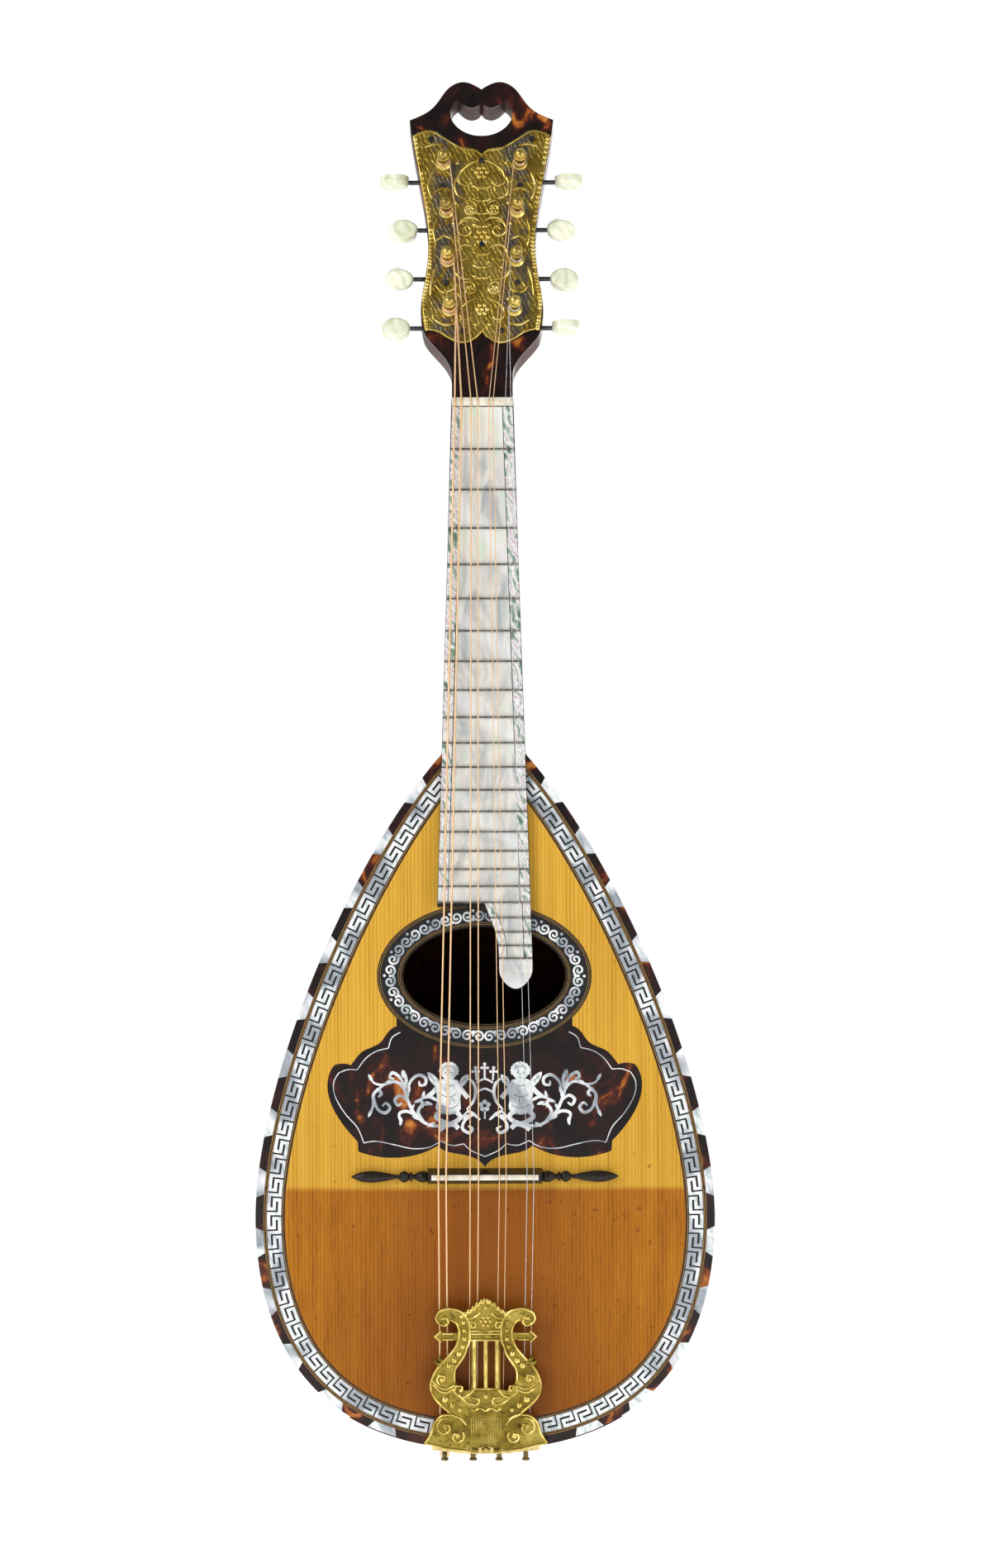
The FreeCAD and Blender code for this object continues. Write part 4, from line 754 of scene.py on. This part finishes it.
def make_rib_seams():
    """A thin light line let in between every two ribs."""
    first, last, steps = 0.30, 1.98, 60
    stations = [first + (last - first) * step / steps for step in range(steps + 1)]
    seams = [[on_bowl(u, index / RIB_COUNT) for u in stations] for index in range(1, RIB_COUNT)]
    add_tubes("rib_seams", seams, SEAM_RADIUS, "line_wood")


# -------------------- rosette
def ring_point(angle, wide, tall):
    return wide * math.cos(angle), HOLE_HEIGHT + tall * math.sin(angle)


def make_rosette():
    """Pairs of pearl scrolls with a small bud between, and the fine rings that frame them."""
    scrolls = Inlay(on_board, 0.03)
    wide, tall = BAND_HALF
    steps = 720
    line = [ring_point(2 * math.pi * i / steps, wide, tall) for i in range(steps + 1)]
    run = run_lengths(line)
    count = 44
    scroll_radius, scroll_turns, line_width = 2.62, 1.45, 0.86
    half_pair, bud_reach, bud_radius = 2.56, 2.0, 0.62
    for index in range(count):
        target = run[-1] * (index + 0.5) / count
        step = bisect.bisect_right(run, target) - 1
        x, z = line[step]
        ahead = line[step + 1]
        heading = math.atan2(ahead[1] - z, ahead[0] - x)
        second_of_pair = index % 2 == 1
        hand = 1 if second_of_pair else -1
        start = heading if second_of_pair else heading + math.pi
        scrolls.ribbon(spiral(x, z, scroll_radius, scroll_turns, start, hand), line_width)
        if second_of_pair:
            nx, nz = math.cos(heading + math.pi / 2), math.sin(heading + math.pi / 2)
            along = Vector((math.cos(heading), math.sin(heading))) * half_pair
            for reach in (bud_reach, -bud_reach):
                scrolls.disc(x + along.x + nx * reach, z + along.y + nz * reach, bud_radius)
    scrolls.finish("rosette_scrolls", "pearl")
    outer, inner = ROSETTE_HALF, (HOLE_HALF[0] + 2.5, HOLE_HALF[1] + 2.5)
    for name, insets, width, material in (
            ("rosette_rings_light", (0.62, 1.34), 0.11, "line_wood"),
            ("rosette_rings_dark", (0.20, 0.98, 1.72), 0.44, "ebony")):
        lines = Inlay(on_board, 0.028)
        for a, b in (outer, inner):
            for inset in insets:
                turns = [2 * math.pi * i / 180 for i in range(181)]
                lines.ribbon([ring_point(turn, a - inset, b - inset) for turn in turns], width)
        lines.finish(name, material)


# -------------------- pickguard inlay
def on_pickguard(x, z, lift):
    return on_board(x, z, lift + PICKGUARD_RISE)


def make_pickguard_line():
    """A thin pearl line that follows the pickguard's edge."""
    line = Inlay(on_pickguard, 0.03)
    runs = (
        ((36.3, 181.0), (39.9, 178.7), (41.4, 174.2)),
        ((41.4, 174.2), (46.8, 172.8), (51.3, 169.7), (54.9, 164.9)),
        ((54.9, 164.9), (59.0, 165.0), (62.9, 163.6)),
        ((62.9, 163.6), (65.1, 159.3), (64.4, 153.4), (60.2, 146.1), (54.9, 140.0), (52.2, 133.4)),
        ((52.2, 133.4), (46.8, 134.1), (38.6, 132.5), (31.3, 130.9), (24.1, 131.4), (19.1, 134.2)),
        ((19.1, 134.2), (14.1, 132.2), (9.1, 132.9)),
        ((9.1, 132.9), (5.9, 130.0), (0.0, 127.4)),
    )
    for run in both(smooth(runs)):
        line.ribbon(run, 0.42)
    line.finish("pickguard_line", "pearl")


def make_pickguard_joint():
    """The strip of shell that carries the pickguard up to the rosette."""
    wide, tall = ROSETTE_HALF
    strip = Inlay(on_pickguard, 0.004)
    foot = curve_through([(0.0, 169.9), (20.0, 174.8), (32.0, 179.4), (37.9, 182.6)])
    top = [(x, HOLE_HEIGHT - tall * math.sqrt(1 - (x / wide) ** 2)) for x, _ in foot]
    strip.polygon(foot + top[::-1])
    strip.polygon(mirror(foot) + mirror(top)[::-1])
    strip.finish("pickguard_joint", "tortoiseshell")


def make_rinceaux():
    """Acanthus scrolls on both sides, and the little scrolls under the middle."""
    pearls = Inlay(on_pickguard, 0.03)
    stems = (
        ((7.7, 146.5), (11.4, 143.4), (20.4, 140.6), (25.9, 142.0), (30.4, 146.1), (33.1, 151.5),
         (35.0, 157.0), (38.6, 159.7), (44.0, 158.4), (47.7, 159.3), (49.5, 162.0)),
        ((34.5, 156.0), (33.8, 160.6), (35.0, 164.6)),
        ((34.6, 158.4), (37.0, 162.1), (39.8, 163.6), (40.8, 161.6), (39.0, 160.9)),
        ((33.1, 153.3), (32.3, 159.2), (28.8, 162.5), (25.6, 161.3), (25.6, 158.7), (27.9, 158.2),
         (28.2, 160.0)),
        ((33.2, 151.6), (36.3, 153.7), (38.7, 152.0), (37.5, 149.6), (35.7, 150.7)),
        ((43.5, 158.3), (47.7, 154.6), (48.0, 149.7), (49.9, 145.2)),
        ((47.8, 153.2), (46.3, 148.2), (43.1, 146.3), (40.9, 148.4), (42.5, 150.5), (44.2, 149.2)),
        ((46.0, 157.0), (44.6, 154.6), (45.9, 153.2)),
        ((29.0, 144.4), (33.1, 146.9), (36.8, 145.9), (36.0, 141.4)),
        ((26.0, 142.2), (28.7, 146.4), (27.0, 149.6), (24.6, 149.8)),
        ((19.4, 151.0), (24.0, 153.2), (28.1, 152.0)),
        ((7.8, 147.2), (5.0, 145.8), (2.0, 143.2)),
        ((5.0, 145.4), (8.6, 142.9), (9.6, 139.5), (6.8, 137.6), (5.3, 139.4), (7.2, 140.5)),
        ((6.8, 161.0), (4.6, 158.6), (3.9, 155.0), (5.0, 151.0), (7.8, 147.6)),
    )
    for stem in both(smooth(stems)):
        pearls.ribbon(stem, 1.15, taper=True)
    leaves = ((35.2, 163.0, 80), (49.2, 161.4, 60), (49.4, 146.2, -65), (36.2, 142.6, -80),
              (31.2, 148.6, 120), (36.6, 158.9, 20), (41.4, 159.6, -20), (46.4, 156.0, -50),
              (24.2, 150.4, 200), (29.6, 144.2, 20), (23.0, 141.2, 150), (8.0, 144.4, 140),
              (32.7, 156.2, 100), (26.4, 153.9, 100), (28.7, 151.4, -20), (26.9, 150.3, -100))
    for x, z, degrees in leaves:
        blade = leaf(x, z, math.radians(degrees), 2.0, 0.75)
        pearls.polygon(blade)
        pearls.polygon(mirror(blade)[::-1])
    pearls.finish("pickguard_rinceaux", "pearl")


def leaf(x, z, turn, reach, half):
    """A pointed leaf."""
    outline_points = ((-reach, 0.0), (-0.3 * reach, half), (0.45 * reach, 0.8 * half), (reach, 0.0),
                      (0.45 * reach, -0.8 * half), (-0.3 * reach, -half))
    return [(x + a * math.cos(turn) - b * math.sin(turn), z + a * math.sin(turn) + b * math.cos(turn))
            for a, b in outline_points]


def make_crown():
    """A small arched crown over a flower, in the middle."""
    pearls = Inlay(on_pickguard, 0.034)
    for height in (159.2, 155.0):
        pearls.ribbon(curve_through([(-3.6, height), (0.0, height + 1.6), (3.6, height)]), 0.85)
    for x, foot, top in ((0.0, 160.6, 167.2), (3.9, 160.2, 165.6), (-3.9, 160.2, 165.6)):
        pearls.ribbon([(x * 0.9, foot), (x, top)], 0.9)
        pearls.ribbon([(x - 1.4, top - 1.6), (x + 1.4, top - 1.6)], 0.75)
        pearls.disc(x, top, 0.75)
        pearls.disc(x - 1.3, top - 1.6, 0.62)
        pearls.disc(x + 1.3, top - 1.6, 0.62)
    for index in range(5):
        angle = math.radians(90 + 72 * index)
        pearls.disc(1.65 * math.cos(angle), 149.3 + 1.65 * math.sin(angle), 1.0)
    pearls.ribbon([(0.0, 147.0), (0.0, 143.6)], 0.7)
    pearls.finish("pickguard_crown", "pearl")


def make_putti():
    """Two seated winged children, as simple generic shapes with engraved lines."""
    pearls = Inlay(on_pickguard, 0.040)
    lines = Inlay(on_pickguard, 0.052)
    torso = ((11.6, 160.3), (15.5, 161.0), (19.4, 160.2), (20.8, 156.2), (20.4, 151.6), (21.2, 148.2),
             (18.4, 145.8), (13.4, 145.6), (10.4, 147.8), (10.6, 152.2), (9.9, 156.4))
    wings = (((19.6, 159.8), (21.6, 162.4), (24.6, 163.8), (23.8, 160.4), (20.8, 157.4)),
             ((10.8, 159.8), (9.4, 161.9), (6.9, 162.6), (7.6, 159.6), (10.0, 157.4)))
    limbs = (((13.0, 147.4), (10.6, 144.4), (13.8, 141.8), (17.4, 140.4), (19.4, 138.8)),
             ((18.4, 147.4), (20.9, 144.6), (17.2, 142.0), (13.0, 141.0), (11.4, 139.4)),
             ((19.4, 158.4), (22.4, 155.0), (24.6, 153.2)), ((11.4, 158.0), (9.0, 154.8), (7.2, 152.6)))
    curls = [(15.4 + 3.5 * math.cos(math.radians(a)), 164.4 + 3.1 * math.sin(math.radians(a)))
             for a in range(-20, 201, 22)]
    engraved = (((12.8, 165.0), (14.0, 166.4), (15.4, 166.0), (16.8, 166.4), (18.0, 165.0)),
                ((13.8, 158.4), (15.4, 157.6), (17.2, 158.6)),
                ((12.4, 154.2), (15.6, 153.0), (19.0, 154.2)),
                ((11.6, 149.6), (15.0, 148.2), (19.6, 149.8)), ((14.8, 152.4), (15.2, 149.4)),
                ((12.4, 146.6), (15.6, 145.2), (19.2, 146.6)), ((21.2, 159.6), (23.6, 162.4)),
                ((10.0, 159.6), (7.8, 161.4)))
    for side in (1, -1):
        pearls.disc(side * 15.4, 163.6, 3.2, 1.05)
        for x, z in curls:
            pearls.disc(side * x, z, 0.85)
        for x in (14.1, 16.7):
            lines.disc(side * x, 163.5, 0.26)
    for shape in (torso, *wings):
        edge = curve_through([*shape, shape[0]], 3)[:-1]
        pearls.polygon(edge)
        pearls.polygon(mirror(edge))
    for limb in both(limbs):
        pearls.ribbon(curve_through(limb), 2.0)
    for cut in both(engraved):
        lines.ribbon(curve_through(cut), 0.26)
    for cut in both((((15.4, 163.0), (15.4, 162.3)), ((14.6, 161.5), (15.4, 161.3), (16.2, 161.5)))):
        lines.ribbon(curve_through(cut), 0.18)
    pearls.finish("pickguard_putti", "pearl")
    lines.finish("pickguard_engraving", "ebony")


# -------------------- tailpiece cover relief
LID = "tailpiece_lid"
ROD_PLACES = (-4.9, 0.0, 4.9)
CREST = curve_through([(0.0, 66.6), (3.0, 65.1), (5.7, 62.6), (8.8, 60.6)])


def make_cover_relief():
    """Raised rims, scrolls and arrows, and thin lines down the rods and across the bars."""
    lift = 0.05
    lines = (
        ((9.4, 60.9), (12.0, 62.5), (16.0, 63.1), (19.9, 61.6), (21.3, 59.0), (20.1, 56.6), (17.5, 55.7),
         (16.0, 57.2), (17.3, 59.2), (19.0, 58.4)),
        ((14.9, 58.3), (12.3, 56.3), (11.3, 52.4), (11.8, 49.0), (13.5, 45.3), (17.2, 40.8), (21.5, 35.8),
         (23.7, 30.0), (22.9, 25.0), (19.8, 20.8), (15.4, 16.9)),
        ((15.6, 16.0), (19.0, 15.5), (22.2, 12.3), (23.8, 7.5), (26.3, 3.5)),
        ((26.4, 3.5), (16.0, 1.0), (6.6, -0.3)),
        ((9.0, 60.4), (7.2, 57.0), (6.8, 53.0), (7.0, 48.6), (8.1, 45.7), (9.0, 42.8), (11.0, 39.6),
         (13.3, 35.8), (13.5, 31.0)),
        ((5.4, 27.2), (7.4, 24.8), (10.6, 24.0), (13.4, 26.0), (12.8, 28.6), (10.4, 28.6), (10.2, 26.8)),
        ((11.8, 25.0), (8.0, 21.4), (3.8, 20.6), (3.0, 22.8), (6.0, 24.0)),
        ((15.4, 16.4), (11.0, 14.4), (8.6, 11.6)),
        ((22.9, 29.6), (20.0, 26.8), (16.6, 26.0), (13.6, 27.4)),
        ((23.6, 31.6), (20.4, 28.6), (16.8, 27.6), (13.4, 29.0)),
        ((2.2, 61.4), (4.6, 59.4), (8.0, 58.6)),
        ((1.0, 52.9), (4.2, 53.4), (7.4, 52.9)),
        ((0.2, 17.6), (2.4, 18.9), (4.6, 17.9), (6.6, 18.7)),
        ((14.0, 52.1), (18.6, 52.1)),
        ((14.0, 49.5), (18.6, 49.5)),
    )
    rims = [CREST, *smooth(lines)]
    rims += [
        spiral(17.6, 10.4, 4.3, 1.25, 1.9, -1),
        spiral(12.4, 6.2, 3.2, 1.2, 2.4, 1),
        spiral(18.9, 31.8, 2.5, 1.2, -1.2, 1),
        spiral(5.6, 55.6, 1.9, 1.1, 0.6, 1),
        [(19.2, 53.2), (21.9, 50.8), (19.2, 48.4)],
    ]
    bars = [[(x, 28.4), (x, 49.0)] for x in ROD_PLACES]
    bars += [[(-half, z), (half, z)] for half, z in ((7.0, 49.3), (7.0, 52.0), (5.4, 27.6))]
    add_tubes("cover_relief", laid(both(rims) + bars, on_cover, lift), 0.55, "bright_gilt", LID)


def make_cover_leaves():
    """Small leaves on the arms, and the three rods between them."""
    leaves = both([((17.2, 38.4), (18.8, 39.8), (20.3, 41.6)), ((18.6, 37.2), (20.2, 38.6), (21.9, 40.0)),
                   ((15.0, 38.0), (13.6, 37.8), (12.4, 38.4))])
    add_tubes("cover_leaves", laid(smooth(leaves), on_cover, -0.2), 1.0, "cover_brass", LID, taper=True)
    rods = [[(x, 28.0), (x, 49.4)] for x in ROD_PLACES]
    add_tubes("cover_rods", laid(rods, on_cover, -0.3), 0.85, "gilt_brass", LID)


def make_cover_hatching():
    """The crossed lines of the cartouche."""
    pitch = 1.05
    hatch = []
    for step in range(12):
        z = 3.4 + step * pitch
        half = 7.6 - 0.5 * abs(step - 5.5)
        hatch.append([(-half, z), (half, z)])
    for step in range(13):
        x = (step - 6) * pitch
        hatch.append([(x, 3.6), (x, 14.6)])
    add_tubes("cover_hatching", laid(hatch, on_cover, 0.02), 0.09, "bright_gilt", LID)


def make_cover_beads():
    """Beads down the arms, in the scrolls and over the crest, and a flower under it."""
    arm = curve_through([(10.4, 59.6), (9.3, 55.8), (9.1, 51.8), (9.5, 47.6), (11.0, 44.0), (13.3, 40.4),
                         (15.9, 37.8)])
    beads = [(*arm[int(index * (len(arm) - 1) / 7)], 0.0, 0.90 + 0.08 * index) for index in range(8)]
    beads += [(x, z, 0.0, radius) for x, z, radius in (
        (17.6, 22.8, 1.6), (14.4, 20.2, 1.4), (11.2, 18.2, 1.15), (18.9, 31.8, 0.9),
        (17.6, 10.4, 1.0), (12.4, 6.2, 0.9), (18.2, 58.8, 0.9), (10.8, 26.8, 0.9))]
    beads = in_pairs(beads) + petals(0.0, 57.4, 2.0, 0.0, 0.95)
    beads += in_pairs([(*CREST[index * (len(CREST) - 1) // 5], -0.3, 1.35) for index in range(6)])
    beads += [(0.0, 57.4, 0.2, 0.9), (0.0, 63.4, 0.1, 0.9), (0.0, 24.2, 0.1, 1.1)]
    add_beads("cover_beads", beads, on_cover, LID)


# -------------------- head plate relief and string turns
PLATE_LIFT = 1.0


def make_plate_rim():
    """A bright rim with a row of beads inside each long side."""
    top = curve_through([(29.6, 121.4), (26.0, 123.1), (21.6, 123.5), (16.0, 120.1), (8.8, 115.7),
                         (2.5, 114.5), (0.0, 112.3)])
    side = curve_through([(24.3, 31.7), (25.5, 44.5), (23.6, 57.0), (22.5, 70.0), (23.8, 86.0),
                          (26.8, 104.0), (29.6, 121.4)])
    bottom = curve_through([(0.0, 30.7), (4.1, 26.9), (8.5, 25.5), (13.8, 27.3), (18.8, 30.5),
                            (24.3, 31.7)])
    add_tubes("plate_rim", laid(both([top, side, bottom]), on_head, PLATE_LIFT), 0.50, "bright_gilt")
    count, inset = 44, 0.4
    stops = [side[int((index + 0.5) * (len(side) - 1) / count)] for index in range(count)]
    beads = in_pairs([(x - inset, v, PLATE_LIFT, 1.05) for x, v in stops])
    add_beads("plate_side_beads", beads, on_head)


def make_plate_scrolls():
    """Scrolls and leaves between the two rows of posts, and short ones beside them."""
    lines = (
        ((1.0, 110.0), (5.0, 108.5), (9.4, 104.4), (9.8, 99.6), (6.4, 98.2), (4.6, 100.6)),
        ((9.4, 104.4), (11.8, 99.0), (10.4, 93.6), (6.8, 92.0)),
        ((1.0, 81.6), (4.4, 83.2), (8.4, 82.4), (10.8, 79.0)),
        ((0.8, 66.0), (4.0, 69.6), (8.6, 70.4), (11.0, 66.8), (9.0, 63.4), (6.2, 64.6)),
        ((11.0, 66.8), (12.2, 60.4), (9.8, 55.4), (5.0, 54.4)),
        ((2.0, 46.0), (6.4, 44.0), (9.6, 40.4), (8.6, 36.4), (5.2, 36.4), (5.0, 39.4)),
        ((12.0, 50.0), (17.0, 48.6), (20.2, 51.6)),
        ((11.4, 34.2), (16.0, 33.4), (20.4, 35.6)),
        ((12.4, 73.0), (16.6, 74.6), (19.6, 72.4)),
        ((12.6, 95.6), (17.0, 96.8), (21.0, 94.8)),
        ((16.0, 116.8), (20.0, 117.6), (24.6, 116.4)),
        ((21.4, 104.6), (23.4, 98.0), (21.6, 91.6)),
        ((19.6, 82.4), (21.0, 77.0), (19.8, 70.0)),
        ((19.8, 60.4), (21.8, 54.0), (22.4, 47.0)),
    )
    scrolls = smooth(lines)
    scrolls += [spiral(5.4, 87.4, 3.9, 1.3, 1.4, 1), spiral(7.0, 77.6, 4.3, 1.3, 1.8, -1),
                spiral(5.6, 50.0, 3.6, 1.25, 0.9, 1)]
    for v in (98.0, 92.0, 86.0, 80.0, 67.0, 61.0, 56.0):
        scrolls.append(curve_through([(0.3, v - 1.3), (2.2, v - 0.8), (4.2, v)]))
    paths = laid(both(scrolls), on_head, PLATE_LIFT + 0.05)
    add_tubes("plate_scrolls", paths, 0.62, "bright_gilt", taper=True)


def make_plate_flowers():
    """Flowers with six petals, and single berries."""
    flowers = []
    for x, v, reach in ((0.0, 104.4, 2.3), (0.0, 74.2, 2.6), (0.0, 40.6, 2.2), (5.4, 87.4, 1.5),
                        (-5.4, 87.4, 1.5), (5.6, 50.0, 1.4), (-5.6, 50.0, 1.4)):
        flowers += petals(x, v, reach, PLATE_LIFT - 0.1, reach * 0.5)
        flowers.append((x, v, PLATE_LIFT, reach * 0.42))
    berries = ((11.6, 90.0), (11.4, 45.4), (12.4, 80.4), (10.8, 108.8), (3.0, 62.4), (3.0, 33.6), (8.6, 60.0))
    flowers += in_pairs([(x, v, PLATE_LIFT, 0.9) for x, v in berries])
    add_beads("plate_flowers", flowers, on_head)


def make_string_turns():
    """The turns of each string round its post: posts 1 and 2 of a side carry one course, 3 and 4 another."""
    radii = {"g_strings": 0.43, "d_strings": 0.30, "a_strings": 0.19, "e_strings": 0.13}
    posts = ((14.1, 40.5), (15.0, 63.3), (15.5, 86.1), (16.7, 108.5))
    post_radius = 2.2
    winding_depth = 5.2
    steps = 16
    for side, sign, courses in (("left", -1, ("g_strings", "d_strings")),
                                ("right", 1, ("e_strings", "a_strings"))):
        for number, (across, along) in enumerate(posts, 1):
            course = courses[(number - 1) // 2]
            radius = radii[course]
            turns = 4 if radius > 0.25 else 6
            pitch = 2.1 * radius
            reach = post_radius + radius
            start = math.pi if sign > 0 else 0.0
            path = []
            for step in range(turns * steps + 1):
                angle = start - sign * (step / steps) * 2 * math.pi
                depth = winding_depth - step / steps * pitch + 0.3 * turns * pitch
                path.append(on_head(sign * across + reach * math.cos(angle),
                                    along + reach * math.sin(angle), depth))
            material = OWN_FINISH.get(course, SLOT_OF_NODE[course])
            label = "%s_%d" % (side, number)
            add_tubes("string_turns_" + label, [path], radius, material, "post_" + label)


# -------------------- stage, light and camera
FLOOR_HEIGHT = -0.22


def make_stage():
    """A pale floor, a sky that is darker behind the camera, and three large soft lamps."""
    floor_material = bpy.data.materials.new("studio_floor")
    floor_material.use_nodes = True
    shader = floor_material.node_tree.nodes["Principled BSDF"]
    for name, value in (("Base Color", (0.96, 0.96, 0.96, 1.0)), ("Roughness", 0.9),
                        ("Emission Color", (1.0, 1.0, 1.0, 1.0)), ("Emission Strength", 0.42)):
        shader.inputs[name].default_value = value
    bpy.ops.mesh.primitive_plane_add(size=30.0, location=(0, 0, FLOOR_HEIGHT))
    floor = bpy.context.object
    floor.name = "studio_floor"
    floor.data.materials.append(floor_material)

    world = bpy.data.worlds.new("studio")
    bpy.context.scene.world = world
    world.use_nodes = True
    tree = world.node_tree
    background = tree.nodes["Background"]
    direction = tree.nodes.new("ShaderNodeTexCoord")
    parts = tree.nodes.new("ShaderNodeSeparateXYZ")
    tree.links.new(direction.outputs["Generated"], parts.inputs[0])
    spread = tree.nodes.new("ShaderNodeMapRange")
    for name, number in {"From Min": -0.35, "From Max": 0.60, "To Min": 0.30, "To Max": 1.0}.items():
        spread.inputs[name].default_value = number
    tree.links.new(parts.outputs["Y"], spread.inputs["Value"])
    tree.links.new(spread.outputs["Result"], background.inputs["Color"])
    background.inputs["Strength"].default_value = 1.0

    middle = Vector((0.0, 0.02, 0.29))
    lamps = (("key", (-1.2, -1.3, 1.1), 0.8, 17.0), ("fill", (1.4, -1.2, 0.5), 1.0, 8.0),
             ("back", (0.6, 1.6, 1.0), 1.2, 12.0))
    for name, place, width, power in lamps:
        light = bpy.data.lights.new(name, "AREA")
        light.shape = "SQUARE"
        light.size = width
        light.energy = power
        lamp = bpy.data.objects.new(name, light)
        lamp.location = place
        lamp.rotation_euler = (middle - Vector(place)).to_track_quat("-Z", "Y").to_euler()
        bpy.context.scene.collection.objects.link(lamp)


def set_plain_colours():
    """Colours are shown as they are, so that the white backdrop stays white."""
    view = bpy.context.scene.view_settings
    view.view_transform = "Standard"
    view.look = "None"


def make_camera():
    """A long lens 1.85 m in front of the strings, level with the instrument's middle."""
    distance = 1.85
    view_height = 0.6753
    aside, height, roll = 0.0036, 0.2878, math.radians(0.2)
    camera_data = bpy.data.cameras.new("camera")
    camera_data.sensor_fit = "VERTICAL"
    camera_data.sensor_height = 36.0
    camera_data.lens = 36.0 * distance / view_height
    camera = bpy.data.objects.new("camera", camera_data)
    camera.location = (aside, -distance, height)
    camera.rotation_euler = (math.radians(90.0), roll, 0.0)
    bpy.context.scene.collection.objects.link(camera)
    bpy.context.scene.camera = camera


make_meander()
make_purfling_lines()
make_rib_seams()
make_rosette()
make_pickguard_joint()
make_pickguard_line()
make_rinceaux()
make_crown()
make_putti()
make_cover_relief()
make_cover_leaves()
make_cover_hatching()
make_cover_beads()
make_plate_rim()
make_plate_scrolls()
make_plate_flowers()
make_string_turns()
make_stage()
set_plain_colours()
make_camera()

bpy.context.view_layer.update()
